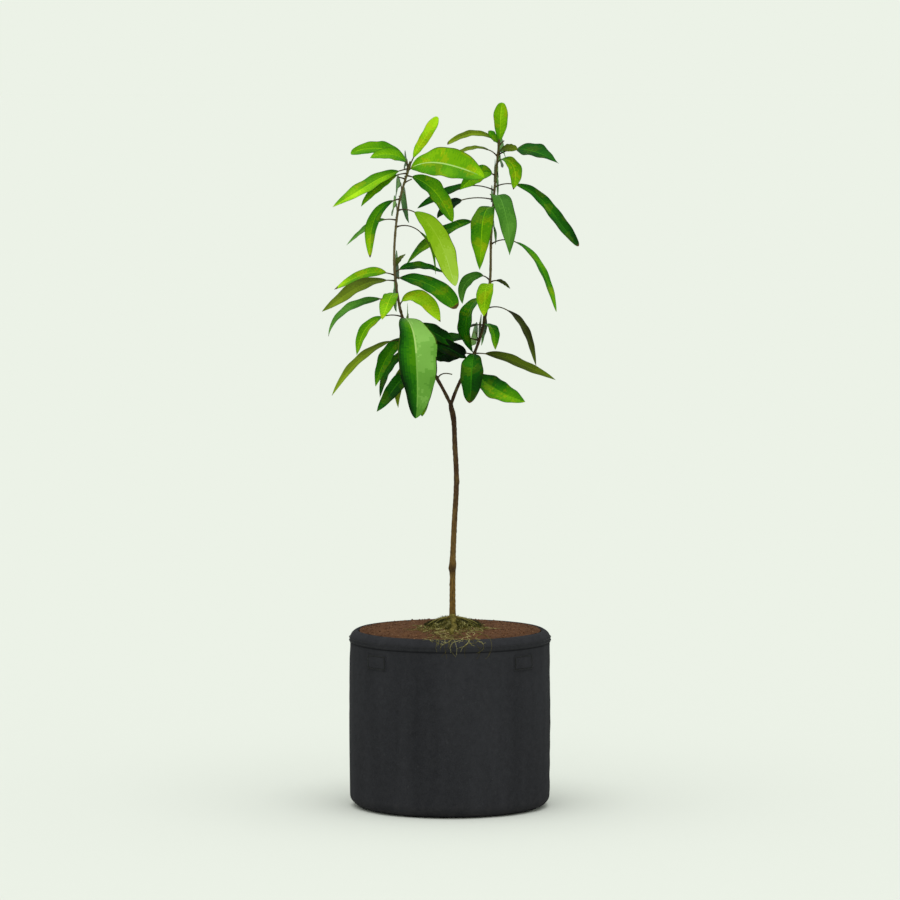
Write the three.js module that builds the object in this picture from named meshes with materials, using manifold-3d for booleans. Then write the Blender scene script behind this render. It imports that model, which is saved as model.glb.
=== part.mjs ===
// Mango sapling in a filled felt grow bag: a slim forked stem with two boughs, and its
// leaves in flushes along them. Millimetres, +Z up, +Y away from the front.
// The origin is the middle of the bag's flat underside.
import * as THREE from "three";
import { mergeVertices } from "three/addons/utils/BufferGeometryUtils.js";
import Module from "manifold-3d";

const wasm = await Module();
wasm.setup();

// ---------------------------------------------------------------- driving dimensions
const GAP = 0.3; // between pieces that touch

const BAG = {
  radius: 178, // widest, half way up
  height: 316,
  wall: 3.5,
  footRadius: 21, // round of the lower edge
  shoulderRadius: 17, // round of the mouth, where the filled bag turns inwards
  belly: 1.2, // how far the wall bulges between foot and shoulder
  hem: 22, // depth of the folded hem round the mouth
  hemStep: 1.1, // the fold stands this far proud of the wall
};
const SIDES_ROUND_BAG = 36;

// Drop: its middle below the mouth. Turn: its angle either side of front and back.
const PATCH = { width: 48, height: 28, thickness: 1.6, drop: 46, turn: 47, offWall: 0.45 };

const PATCH_TURNS = [
  ["front_left", -90 - PATCH.turn],
  ["front_right", -90 + PATCH.turn],
  ["back_right", 90 - PATCH.turn],
  ["back_left", 90 + PATCH.turn],
];

const SOIL = { dome: 7, plateau: 80, below: 1 };
const SOIL_TOP = BAG.height - SOIL.below + SOIL.dome;

const MAT = { radius: 50, height: 14 };
const ROOTS = { count: 9, from: 20, reach: 66, radius: 2.3, tip: 1.1 };
const FRONT_ROOT = { from: 12, reach: 112, radius: 5.2, tip: 2.8 }; // the thick one that runs forwards

const TRUNK = {
  foot: SOIL_TOP + GAP,
  fork: 716,
  stub: 14, // height of the two stubs of the crotch above the fork
  baseRadius: 5.3,
  topRadius: 3.9,
  flare: 4.6, // added at the foot
  flareHeight: 9,
  graftHeight: 430,
  graftSwell: 1.2,
  graftLength: 11,
  knotHeight: 697,
  knotSwell: 0.8,
};
const BOUGH_RADIUS = { fork: 2.7, tip: 1.9 };

// Middle lines, as [x, y] at each height z.
const TRUNK_LINE = [
  [320, 4.5, 0],
  [430, 4.8, 0],
  [500, 7.5, 2],
  [580, 11.5, 3],
  [650, 8.5, 1],
  [690, 6.5, 0],
  [716, 1.5, 0],
];
const LEFT_LINE = [
  [700, 4, 0],
  [716, 1.5, 0],
  [762, -22, -5],
  [825, -60, -12],
  [872, -84, -16],
  [944, -97, -20],
  [1005, -98, -24],
  [1080, -89, -27],
  [1143, -71, -28],
];
const RIGHT_LINE = [
  [700, 0, 0],
  [716, 1.5, 0],
  [754, 16, 4],
  [807, 43, 9],
  [864, 61, 13],
  [933, 71, 17],
  [1010, 73, 20],
  [1085, 78, 22],
  [1181, 87, 24],
];

// Lengths of bough with no leaves.
const BARE_LENGTHS = [
  ["left_lower_bough", "left", 730, 757],
  ["left_upper_bough", "left", 968, 1018],
  ["right_lower_bough", "right", 730, 788],
  ["right_upper_bough", "right", 956, 996],
];

// ---------------------------------------------------------------- small helpers
const rad = THREE.MathUtils.degToRad;
const { lerp } = THREE.MathUtils;
const bump = (value, middle, width) => Math.exp(-(((value - middle) / width) ** 2));

// Park and Miller's generator, so that a seed gives the same sapling anywhere.
function seeded(seed) {
  let state = seed;
  return (low = 0, high = 1) => {
    state = (state * 16807) % 2147483647;
    return lerp(low, high, state / 2147483647);
  };
}

function paint(colour, roughness) {
  return new THREE.MeshStandardMaterial({ color: colour, roughness, metalness: 0 });
}
const FELT = paint(0x2b2d2f, 0.95);
const EARTH = paint(0x5b3d2c, 0.95);
const MOSS = paint(0x5d6425, 0.95);
const BARK = paint(0x4d3723, 0.85);
const GREEN_BARK = paint(0x5f5a2c, 0.8);
const LIME = paint(0x86b71a, 0.5);
const GREEN = paint(0x3f9420, 0.5);
const DEEP = paint(0x1f6b1c, 0.5);

// A closed geometry as a manifold solid, and a solid as a named mesh.
function solid(geometry) {
  const bare = geometry.clone();
  for (const name of ["normal", "uv"]) bare.deleteAttribute(name);
  const merged = mergeVertices(bare, 1e-4);
  return new wasm.Manifold(
    new wasm.Mesh({
      numProp: 3,
      vertProperties: merged.attributes.position.array,
      triVerts: new Uint32Array(merged.index.array),
    }),
  );
}

function meshOf(name, body, material) {
  const { vertProperties, triVerts } = body.getMesh();
  const geometry = new THREE.BufferGeometry();
  geometry.setAttribute("position", new THREE.BufferAttribute(vertProperties, 3));
  geometry.setIndex(new THREE.BufferAttribute(triVerts, 1));
  geometry.computeVertexNormals();
  const mesh = new THREE.Mesh(geometry, material);
  mesh.name = name;
  return mesh;
}

// Moves every vertex of a geometry to where place(vertex) says.
function reshape(geometry, place) {
  const position = geometry.attributes.position;
  const vertex = new THREE.Vector3();
  for (let i = 0; i < position.count; i++) {
    place(vertex.fromBufferAttribute(position, i));
    position.setXYZ(i, vertex.x, vertex.y, vertex.z);
  }
  return geometry;
}

// ---------------------------------------------------------------- limbs
// A middle line that climbs: a smooth curve through its [z, x, y] rows.
class Climb extends THREE.Curve {
  constructor(rows, low, high) {
    super();
    Object.assign(this, { rows, low, high });
  }
  slope(i, axis) {
    const a = this.rows[Math.max(i - 1, 0)];
    const b = this.rows[Math.min(i + 1, this.rows.length - 1)];
    return (b[axis] - a[axis]) / (b[0] - a[0]);
  }
  atHeight(z) {
    let i = 0;
    while (i < this.rows.length - 2 && this.rows[i + 1][0] < z) i++;
    const [a, b] = [this.rows[i], this.rows[i + 1]];
    const span = b[0] - a[0];
    const t = (z - a[0]) / span;
    const along = (axis) =>
      a[axis] * (1 + 2 * t) * (1 - t) ** 2 +
      b[axis] * t * t * (3 - 2 * t) +
      span * (this.slope(i, axis) * t * (1 - t) ** 2 - this.slope(i + 1, axis) * t * t * (1 - t));
    return new THREE.Vector3(along(1), along(2), z);
  }
  getPoint(t) {
    return this.atHeight(lerp(this.low, this.high, t));
  }
}

// A tapering round limb along a curve. radiusAt takes the share of the way along it.
function limb(curve, radiusAt, sides, rings, across = new THREE.Vector3(1, 0, 0)) {
  const geometry = new THREE.CylinderGeometry(1, 1, 1, sides, rings);
  return solid(
    reshape(geometry, (v) => {
      const share = v.y + 0.5;
      const forward = curve.getTangent(share);
      const out = new THREE.Vector3().crossVectors(across, forward).normalize();
      const side = new THREE.Vector3().crossVectors(forward, out);
      const radius = radiusAt(share);
      const middle = curve.getPoint(share);
      v.copy(middle.addScaledVector(side, v.x * radius).addScaledVector(out, v.z * radius));
    }),
  );
}

const boughTop = { left: LEFT_LINE.at(-1)[0], right: RIGHT_LINE.at(-1)[0] };
const boughLine = { left: LEFT_LINE, right: RIGHT_LINE };

function boughRadius(side, z) {
  const share = (z - TRUNK.fork) / (boughTop[side] - TRUNK.fork);
  return lerp(BOUGH_RADIUS.fork, BOUGH_RADIUS.tip, THREE.MathUtils.clamp(share, 0, 1));
}

// One length of a bough between two heights, half a gap short at each end.
function boughLength(side, low, high) {
  const curve = new Climb(boughLine[side], low + GAP / 2, high - GAP / 2);
  const rings = Math.max(3, Math.round((high - low) / 14));
  return limb(curve, (share) => boughRadius(side, lerp(low, high, share)), 8, rings);
}

function trunk() {
  const curve = new Climb(TRUNK_LINE, TRUNK.foot, TRUNK.fork);
  const radius = (share) => {
    const z = lerp(TRUNK.foot, TRUNK.fork, share);
    return (
      lerp(TRUNK.baseRadius, TRUNK.topRadius, share) +
      TRUNK.flare * Math.exp(-(z - TRUNK.foot) / TRUNK.flareHeight) +
      TRUNK.graftSwell * bump(z, TRUNK.graftHeight, TRUNK.graftLength) +
      TRUNK.knotSwell * bump(z, TRUNK.knotHeight, TRUNK.graftLength)
    );
  };
  let body = limb(curve, radius, 10, 34);
  for (const side of ["left", "right"]) {
    const stub = new Climb(boughLine[side], TRUNK.fork - 12, TRUNK.fork + TRUNK.stub - GAP / 2);
    body = body.add(limb(stub, () => BOUGH_RADIUS.fork, 8, 4));
  }
  return body;
}

// ---------------------------------------------------------------- leaves
// at: share of the way up its flush. facing: compass angle, 0 to the right, 90 to the back.
// stalk, blade: lengths. rise, fall: pitch where it leaves the bough and at its tip.
// roll: turns the upper face round the leaf's own line. broad: width over length.
// bend: over 1 it turns down early, under 1 it stays level and turns down near its tip.
// widest: where along the blade that is. sway: how far the tip bends sideways, over its length.
function leaf(at, facing, stalk, blade, rise, fall, roll = 0, broad = 0.22, bend = 2, ...more) {
  const [widest = 0.44, sway = 0] = more;
  return { at, facing, stalk, blade, rise, fall, roll, broad, bend, widest, sway };
}

const SPINE_STEPS = 24;
const FOOT_BLUNTNESS = 0.7; // under 1 the blade widens quickly from its foot
const FOLD = 0.22; // rise of the blade's edges over half its width
const LEAST_HALF_WIDTH = 0.9;
const THICKNESS = 0.014; // of the blade's length, along its middle
const STALK_RADIUS = 1.35;
const BLADE_STATIONS = [0.08, 0.22, 0.4, 0.58, 0.75, 0.9, 1]; // shares of the blade's length

// Half a blade's width at a share of its length.
function halfWidthAt(l, t) {
  const tipBluntness = (FOOT_BLUNTNESS * (1 - l.widest)) / l.widest;
  const foot = (t / l.widest) ** FOOT_BLUNTNESS;
  const tip = ((1 - t) / (1 - l.widest)) ** tipBluntness;
  return (l.blade * l.broad * foot * tip) / 2;
}

// The leaf's own line: stalk and blade as one arch.
function spine(root, l) {
  const length = l.stalk + l.blade;
  const heading = rad(l.facing);
  const forwardAt = (u) => {
    const pitch = rad(l.rise + (l.fall - l.rise) * (1 - (1 - u) ** l.bend));
    const level = Math.cos(pitch);
    return new THREE.Vector3(level * Math.cos(heading), level * Math.sin(heading), Math.sin(pitch));
  };
  const points = [root.clone()];
  for (let i = 0; i < SPINE_STEPS; i++) {
    const next = points[i].clone();
    points.push(next.addScaledVector(forwardAt((i + 0.5) / SPINE_STEPS), length / SPINE_STEPS));
  }
  const level = new THREE.Vector3(Math.sin(heading), -Math.cos(heading), 0);
  const roll = rad(l.roll);
  return (u) => {
    const step = Math.min(Math.floor(u * SPINE_STEPS), SPINE_STEPS - 1);
    const point = points[step].clone().lerp(points[step + 1], u * SPINE_STEPS - step);
    const forward = forwardAt(u);
    const up = new THREE.Vector3().crossVectors(level, forward);
    const across = level.clone().multiplyScalar(Math.cos(roll)).addScaledVector(up, -Math.sin(roll));
    const face = up.multiplyScalar(Math.cos(roll)).addScaledVector(level, Math.sin(roll));
    const onBlade = Math.max(u * length - l.stalk, 0) / Math.max(l.blade, 1);
    point.addScaledVector(across, l.sway * l.blade * onBlade ** 2);
    return { point, forward, across, face };
  };
}

// Stalk and blade in one sweep of a four-sided section, round on the stalk and flat on the blade.
function leafSolid(root, l) {
  const at = spine(root, l);
  const length = l.stalk + l.blade;
  const onStalk = [0, 0.55, 1].map((share) => share * l.stalk);
  const onBlade = l.blade ? BLADE_STATIONS.map((t) => l.stalk + t * l.blade) : [];
  const stations = [...onStalk, ...onBlade];
  const sweep = new THREE.CylinderGeometry(1, 1, 1, 4, stations.length - 1);
  return solid(
    reshape(sweep, (v) => {
      const along = stations[Math.round((v.y + 0.5) * (stations.length - 1))];
      const t = THREE.MathUtils.clamp((along - l.stalk) / Math.max(l.blade, 1), 0, 1);
      const leastHalf = t < 0.5 ? STALK_RADIUS : LEAST_HALF_WIDTH;
      const halfWidth = Math.max(leastHalf, halfWidthAt(l, t));
      const halfThick = t > 0 ? (l.blade * THICKNESS) / 2 : STALK_RADIUS;
      const lift = t > 0 ? FOLD * halfWidth * Math.abs(v.x) : 0;
      const { point, across, face } = at(along / length);
      point.addScaledVector(across, v.x * halfWidth);
      v.copy(point.addScaledVector(face, v.z * halfThick + lift));
    }),
  );
}

// ---------------------------------------------------------------- flushes of leaves
// Each flush is a length of bough with its leading leaves, and spare ones that fill the back.
const FLUSHES = [
  {
    name: "left_low_foliage", side: "left", low: 757, high: 884, spare: 4, material: GREEN,
    leaves: [
      leaf(0.80, -68, 8, 184, -6, -94, 0, 0.2, 2, 0.5),
      leaf(0.90, -70, 10, 212, 6, -98, 0, 0.33, 2, 0.5, 0.04),
      leaf(0.66, 198, 12, 104, -14, -74, -42, 0.26),
      leaf(0.58, 206, 46, 152, 16, -52, -24, 0.13),
      leaf(0.46, 164, 24, 100, 6, -76, -66, 0.2),
      leaf(0.27, 214, 28, 110, -12, -50, -40, 0.24),
      leaf(0.38, 214, 14, 104, 2, -90, -20, 0.2),
      leaf(0.92, 190, 37, 86, 22, -82, -46, 0.24, 1.4),
      leaf(0.04, 15, 32, 0, 84, -14),
      leaf(0.56, 12, 20, 80, 6, -28, 58, 0.36),
      leaf(0.78, 16, 18, 82, 6, -36, 62, 0.38),
    ],
  },
  {
    name: "left_middle_foliage", side: "left", low: 884, high: 968, spare: 3, material: LIME,
    leaves: [
      leaf(0.76, 150, 18, 114, 18, -27, -55, 0.2),
      leaf(0.64, 213, 18, 147, 10, -32, -30, 0.18),
      leaf(0.24, 162, 33, 128, 8, -86, -50, 0.16, 0.6),
      leaf(0.36, 250, 6, 84, 16, -52, 0, 0.34),
      leaf(0.82, 28, 10, 96, 32, -18, 44, 0.2),
      leaf(0.70, -28, 8, 130, 6, -52, 50, 0.24, 1, 0.62),
      leaf(0.12, -26, 8, 98, 66, -58, 42, 0.32),
      leaf(0.88, 62, 6, 42, 62, 20, 0, 0.3),
    ],
  },
  {
    name: "left_top_foliage", side: "left", low: 1018, high: 1143, spare: 4, material: LIME,
    leaves: [
      leaf(0.98, 8, 16, 85, 66, 56, 62, 0.23, 2, 0.6),
      leaf(0.97, 150, 15, 118, 62, -14, -50, 0.22, 2, 0.6),
      leaf(0.96, 206, 12, 74, 70, -14, -55, 0.34),
      leaf(0.95, 206, 20, 142, -10, -32, -40, 0.2),
      leaf(0.88, 206, 20, 90, 2, -50, -52, 0.19),
      leaf(0.52, 198, 12, 118, -6, -94, -40, 0.2, 1.7, 0.5),
      leaf(0.22, 148, 24, 96, 12, -42, -50, 0.15),
      leaf(0.93, -36, 6, 164, 30, -22, 58, 0.34, 2, 0.5),
      leaf(0.85, 12, 10, 112, -8, -62, 58, 0.34, 2, 0.5),
      leaf(0.36, -34, 36, 160, 16, -66, 38, 0.25, 3, 0.52),
      leaf(0.12, 14, 46, 84, 24, -84, 0, 0.22),
      leaf(0.80, 152, 16, 0, 20, 10),
      leaf(0.74, 20, 16, 0, 40, 20),
    ],
  },
  {
    name: "right_low_foliage", side: "right", low: 788, high: 912, spare: 3, material: DEEP,
    leaves: [
      leaf(0.14, -92, 10, 104, 16, -96, 0, 0.36, 2, 0.52, 0.07),
      leaf(0.03, -26, 24, 108, -66, -14, 48, 0.36),
      leaf(0.16, 22, 20, 147, 0, -28, 60, 0.14),
      leaf(0.56, -52, 4, 62, 30, -88, 0, 0.34),
      leaf(0.80, -36, 45, 120, 22, -73, 8, 0.15),
      leaf(0.94, 214, 16, 112, 20, -112, 0, 0.38),
      leaf(0.14, 158, 14, 74, 14, -14, -58, 0.52),
      leaf(0.34, 162, 16, 88, 18, -14, -50, 0.2),
      leaf(0.56, 140, 16, 76, 10, -44, -20, 0.26),
    ],
  },
  {
    name: "right_middle_foliage", side: "right", low: 912, high: 956, spare: 0, material: LIME,
    leaves: [
      leaf(0.48, 10, 12, 30, 40, -44, 40, 0.34),
      leaf(0.55, 182, 15, 74, 58, -92, -50, 0.28, 1.7),
      leaf(0.38, 256, 8, 74, 30, -92, 0, 0.4),
    ],
  },
  {
    name: "right_upper_foliage", side: "right", low: 996, high: 1083, spare: 3, material: GREEN,
    leaves: [
      leaf(0.06, -26, 50, 152, 36, -70, 18, 0.12, 2.6, 0.5),
      leaf(0.50, 172, 36, 144, 14, -46, -46, 0.2),
      leaf(0.80, 250, 5, 146, 20, -96, 0, 0.26, 2, 0.42),
      leaf(0.93, -76, 8, 152, 50, -98, 0, 0.23, 2, 0.4, -0.08),
      leaf(0.97, 190, 58, 56, 14, -72, -50, 0.36, 0.6),
    ],
  },
  {
    name: "right_top_foliage", side: "right", low: 1083, high: 1181, spare: 4, material: DEEP,
    leaves: [
      leaf(0.20, 20, 40, 168, 29, -52, 62, 0.16, 3.3, 0.58),
      leaf(0.14, 176, 42, 106, 28, -34, -52, 0.17, 2, 0.5),
      leaf(0.40, 196, 8, 70, 40, -50, -60, 0.42, 2, 0.4),
      leaf(0.62, -38, 14, 72, 64, -100, 24, 0.36),
      leaf(0.78, -28, 40, 88, 32, -25, 34, 0.42, 2, 0.34),
      leaf(0.82, -46, 5, 46, 44, -12, 40, 0.4, 2, 0.5),
      leaf(0.98, 152, 12, 100, 50, -24, -50, 0.15, 2, 0.66),
      leaf(0.75, 212, 20, 80, 48, -20, -20, 0.17),
      leaf(0.98, 50, 4, 70, 78, 89, 40, 0.34, 2, 0.62),
      leaf(0.97, 196, 3, 28, 62, 44, -60, 0.56, 2, 0.55),
      leaf(0.93, 14, 15, 0, 62, 40),
    ],
  },
];

// Spare leaves: seeded ones that fill a flush towards the back, where they find room.
// Their ranges stand in the order of leaf()'s arguments.
const SPARE = {
  at: [0.3, 0.95],
  facing: [84, 97],
  stalk: [14, 30],
  blade: [105, 160],
  rise: [12, 48],
  fall: [-46, -16],
  roll: [76, 90], // turns the upper face away from the other bough
  broad: [0.2, 0.26],
};
const SPARE_TRIES = 60;
const SPARE_SEEDS = { first: 1000, step: 77 };
const DEEPEST = 186; // the crown's half depth, which no spare leaf passes
const OWN_ROOM = 0.35; // share of the clearance kept to leaves of the same flush
const ROOM_STEPS = 9;
const LEAST_ROOM = 4;
const SHARED_STEPS = 2; // a leaf's first balls may stand in another's room
const LIMB_ROOM = { radius: 5, step: 10 };

// Balls round a leaf's blade: the room it takes up.
function roomOf(owner, root, l) {
  const at = spine(root, l);
  const balls = [];
  for (let i = 1; i <= ROOM_STEPS; i++) {
    const t = i / ROOM_STEPS;
    const { point } = at((l.stalk + t * l.blade) / (l.stalk + l.blade));
    balls.push({ owner, point, radius: Math.max(LEAST_ROOM, halfWidthAt(l, t)) });
  }
  return balls;
}

// Balls along a bough from the fork up.
function roomOfLimb(side) {
  const line = new Climb(boughLine[side], TRUNK.fork, boughTop[side]);
  const count = Math.ceil((boughTop[side] - TRUNK.fork) / LIMB_ROOM.step);
  return Array.from({ length: count + 1 }, (_, i) => ({
    owner: "limb",
    point: line.getPoint(i / count),
    radius: LIMB_ROOM.radius,
  }));
}

function isClear(balls, taken) {
  return balls.every(({ owner, point, radius }) =>
    Math.abs(point.y) + radius < DEEPEST &&
    taken.every((other) => {
      const share = other.owner === owner ? OWN_ROOM : 1;
      return point.distanceTo(other.point) > share * (radius + other.radius);
    }),
  );
}

// Where on the bough a leaf of a flush stands.
function rootOf(flush, l) {
  return new Climb(boughLine[flush.side], flush.low, flush.high).getPoint(l.at);
}

// Adds each flush's spare leaves to its list, after all the leading leaves have their room.
function growSpares(flushes) {
  const taken = [...roomOfLimb("left"), ...roomOfLimb("right")];
  for (const flush of flushes) {
    const blades = flush.leaves.filter((l) => l.blade);
    for (const l of blades) taken.push(...roomOf(flush.name, rootOf(flush, l), l));
  }
  flushes.forEach((flush, i) => {
    const draw = seeded(SPARE_SEEDS.first + SPARE_SEEDS.step * i);
    let wanted = flush.spare;
    for (let n = 0; n < SPARE_TRIES && wanted > 0; n++) {
      const l = leaf(...Object.values(SPARE).map((range) => draw(...range)));
      if (flush.side === "left") l.roll = -l.roll;
      const room = roomOf(flush.name, rootOf(flush, l), l);
      if (!isClear(room.slice(SHARED_STEPS), taken)) continue;
      taken.push(...room);
      flush.leaves.push(l);
      wanted--;
    }
  });
}

function flushSolid(flush) {
  let body = boughLength(flush.side, flush.low, flush.high);
  for (const l of flush.leaves) body = body.add(leafSolid(rootOf(flush, l), l));
  return body;
}

// ---------------------------------------------------------------- bag, soil and root mat
// A quarter of a round, as profile points from angle a to b, in degrees.
function arc(x, y, radius, a, b, steps = 3) {
  return Array.from({ length: steps + 1 }, (_, i) => {
    const angle = rad(lerp(a, b, i / steps));
    return new THREE.Vector2(x + radius * Math.cos(angle), y + radius * Math.sin(angle));
  });
}

// Radius of the wall's outer face at a height between foot and shoulder.
function wallRadius(z) {
  const share = (z - BAG.footRadius) / (BAG.height - BAG.footRadius - BAG.shoulderRadius);
  return BAG.radius - BAG.belly + BAG.belly * Math.sin(Math.PI * THREE.MathUtils.clamp(share, 0, 1));
}

function lathed(profile) {
  const turned = new THREE.LatheGeometry(profile, SIDES_ROUND_BAG);
  turned.rotateX(Math.PI / 2);
  return solid(turned);
}

function growBag() {
  const { radius, height, footRadius, shoulderRadius, belly, hem, hemStep } = BAG;
  const edge = radius - belly;
  const hemFoot = height - hem;
  const outside = [
    new THREE.Vector2(0, 0),
    ...arc(edge - footRadius, footRadius, footRadius, -90, 0),
    ...[80, 158, 236].map((z) => new THREE.Vector2(wallRadius(z), z)),
    new THREE.Vector2(wallRadius(hemFoot), hemFoot),
    new THREE.Vector2(wallRadius(hemFoot) + hemStep, hemFoot),
    ...arc(edge + hemStep - shoulderRadius, height - shoulderRadius, shoulderRadius, 0, 75),
  ];
  return lathed([...outside, ...hollow(0).reverse()]);
}

// The bag's inner profile from the middle of its floor to its mouth, drawn in by inset.
function hollow(inset) {
  const { height, wall, footRadius, shoulderRadius, belly, radius } = BAG;
  const edge = radius - belly;
  const foot = arc(edge - footRadius, footRadius, footRadius - wall - inset, -90, 0);
  const shoulder = arc(edge - shoulderRadius, height - shoulderRadius, shoulderRadius - wall - inset, 0, 80);
  return [new THREE.Vector2(0, wall + inset), ...foot, ...shoulder];
}

function soil() {
  const side = hollow(GAP);
  const brim = side.at(-1);
  const mouth = brim.x - GAP;
  return lathed([
    ...side,
    new THREE.Vector2(mouth, brim.y),
    new THREE.Vector2(mouth, BAG.height - SOIL.below),
    new THREE.Vector2(lerp(mouth, SOIL.plateau, 0.4), SOIL_TOP - SOIL.dome * 0.25),
    new THREE.Vector2(SOIL.plateau, SOIL_TOP),
    new THREE.Vector2(0, SOIL_TOP),
  ]);
}

// A patch sewn flat on the wall, bent to it. turn is its compass angle.
function patch(turn) {
  const z = BAG.height - PATCH.drop;
  const face = wallRadius(z) + PATCH.offWall;
  const sheet = new THREE.BoxGeometry(PATCH.width, PATCH.height, PATCH.thickness, 4, 1, 1);
  return solid(
    reshape(sheet, (v) => {
      const angle = rad(turn) + v.x / face;
      const reach = face + v.z + PATCH.thickness / 2;
      v.set(reach * Math.cos(angle), reach * Math.sin(angle), z + v.y);
    }),
  );
}

// A root that runs out over the soil from the trunk's foot, half sunk in its bed.
function surfaceRoot(foot, bed, { from, reach, radius, tip, heading, sway }, sides) {
  const root = new THREE.Curve();
  root.getPoint = (t) => {
    const angle = heading + sway * t * t;
    const out = lerp(from, reach, t);
    const [x, y] = [out * Math.cos(angle), out * Math.sin(angle)];
    return new THREE.Vector3(foot.x + x, foot.y + y, bed + radius / 2);
  };
  return limb(root, (t) => lerp(radius, tip, t), sides, 4, new THREE.Vector3(0, 0, 1));
}

// The mossy hump of fine roots round the trunk's foot, with roots that run out over the soil.
function rootMat() {
  const bed = SOIL_TOP + GAP;
  const foot = new Climb(TRUNK_LINE, 0, 0).atHeight(bed);
  const draw = seeded(41);
  const lobes = [3, 4, 5].map((count) => ({ count, size: draw(1.5, 4), turn: draw(0, 6.28) }));
  const hump = [[0, 0], [1, 0], [0.92, 0.34], [0.65, 0.75], [0.3, 0.97], [0, 1]];
  const turned = new THREE.LatheGeometry(hump.map(([x, y]) => new THREE.Vector2(x, y)), 24);
  turned.rotateX(Math.PI / 2);
  let body = solid(
    reshape(turned, (v) => {
      const angle = Math.atan2(v.y, v.x);
      const swell = ({ count, size, turn }) => size * Math.sin(count * angle + turn);
      const reach = lobes.reduce((sum, lobe) => sum + swell(lobe), MAT.radius);
      v.set(foot.x + v.x * reach, foot.y + v.y * reach, bed + v.z * MAT.height);
    }),
  );
  for (let i = 0; i < ROOTS.count; i++) {
    const heading = ((i + draw(-0.3, 0.3)) / ROOTS.count) * 2 * Math.PI;
    const reach = draw(0.84, 1) * ROOTS.reach;
    const sway = draw(-0.5, 0.5);
    body = body.add(surfaceRoot(foot, bed, { ...ROOTS, heading, sway, reach }, 3));
  }
  body = body.add(surfaceRoot(foot, bed, { ...FRONT_ROOT, heading: -Math.PI / 2, sway: 0.05 }, 6));
  const holeRadius = TRUNK.baseRadius + TRUNK.flare + GAP;
  const hole = new THREE.CylinderGeometry(holeRadius, holeRadius, 60, 20);
  hole.rotateX(Math.PI / 2);
  hole.translate(foot.x, foot.y, bed);
  const ground = new THREE.BoxGeometry(400, 400, 40);
  ground.translate(0, 0, bed - 20);
  return body.subtract(solid(hole)).subtract(solid(ground));
}

growSpares(FLUSHES);

const sapling = new THREE.Group();
sapling.add(meshOf("grow_bag", growBag(), FELT));
sapling.add(meshOf("soil", soil(), EARTH));
sapling.add(meshOf("root_mat", rootMat(), MOSS));
sapling.add(meshOf("trunk", trunk(), BARK));
for (const [place, turn] of PATCH_TURNS) {
  sapling.add(meshOf(`${place}_stitched_patch`, patch(turn), FELT));
}
for (const [name, side, low, high] of BARE_LENGTHS) {
  sapling.add(meshOf(name, boughLength(side, low, high), GREEN_BARK));
}
for (const flush of FLUSHES) {
  sapling.add(meshOf(flush.name, flushSolid(flush), flush.material));
}

export default sapling;
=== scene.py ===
import math
from dataclasses import dataclass
from itertools import combinations

import bpy
import numpy as np
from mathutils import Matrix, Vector


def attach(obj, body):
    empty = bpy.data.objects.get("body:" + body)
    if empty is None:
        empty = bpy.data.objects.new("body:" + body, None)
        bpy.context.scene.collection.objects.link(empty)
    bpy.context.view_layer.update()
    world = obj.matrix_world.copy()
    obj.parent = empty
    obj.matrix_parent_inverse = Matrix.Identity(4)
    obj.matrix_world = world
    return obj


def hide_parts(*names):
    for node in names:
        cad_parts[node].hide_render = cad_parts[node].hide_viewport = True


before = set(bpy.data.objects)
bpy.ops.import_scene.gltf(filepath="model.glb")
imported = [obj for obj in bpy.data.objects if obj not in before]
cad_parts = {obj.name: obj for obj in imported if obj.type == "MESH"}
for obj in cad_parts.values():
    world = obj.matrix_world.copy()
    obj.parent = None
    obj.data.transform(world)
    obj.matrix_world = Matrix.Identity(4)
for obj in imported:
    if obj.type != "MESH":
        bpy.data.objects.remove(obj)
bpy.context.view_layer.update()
bpy.ops.object.select_all(action="DESELECT")

MM = 0.001
FULL_TURN = 2 * math.pi
UP = np.array([0, 0, 1.0])

# ---------------------------------------- sizes, as in the part's source
BAG_RADIUS = 178.0
BAG_HEIGHT = 316.0
BAG_WALL = 3.5
BELLY = 1.2
EDGE_RADIUS = BAG_RADIUS - BELLY  # the wall's, at its foot and at its mouth
FOOT_RADIUS = 21.0
SHOULDER_RADIUS = 17.0
LIP_RADIUS = SHOULDER_RADIUS - BAG_WALL
LIP_TURN = 80  # how far round the lip's inner side goes, in degrees
HEM_FOOT = BAG_HEIGHT - 22.0
HEM_STEP = 1.1

PATCH_SIZE = np.array([48.0, 28.0])
PATCH_THICKNESS = 1.6
PATCH_MIDDLE = BAG_HEIGHT - 46.0
PATCH_TURN = 47.0
PATCH_TURNS = {
    "front_left": -90 - PATCH_TURN,
    "front_right": -90 + PATCH_TURN,
    "back_right": 90 - PATCH_TURN,
    "back_left": 90 + PATCH_TURN,
}

SOIL_DOME = 7.0
SOIL_PLATEAU = 80.0
SOIL_BELOW_RIM = 1.0
SOIL_TOP = BAG_HEIGHT - SOIL_BELOW_RIM + SOIL_DOME
SOIL_RADIUS = EDGE_RADIUS - SHOULDER_RADIUS + LIP_RADIUS * math.cos(math.radians(LIP_TURN)) - 0.6

MAT_RADIUS = 50.0
MAT_HEIGHT = 14.0
ROOT_REACH = 66.0
FRONT_ROOT_REACH = 112.0
FRONT_ROOT_RADIUS = 5.2
FRONT_ROOT_TIP = 2.8

FORK = 716.0
STUB = 14.0  # the first length of each bough, in one skin with the trunk
TRUNK_BASE_RADIUS = 5.3
TRUNK_TOP_RADIUS = 3.9
TRUNK_FLARE = 4.6
TRUNK_FLARE_HEIGHT = 9.0
GRAFT_HEIGHT = 430.0
GRAFT_SWELL = 1.2
KNOT_HEIGHT = 697.0
KNOT_SWELL = 0.8
SWELL_LENGTH = 11.0
BOUGH_FORK_RADIUS = 2.7
BOUGH_TIP_RADIUS = 1.9
BARK = 0.35  # how proud of the part's plain trunk and boughs the bark stands

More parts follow.
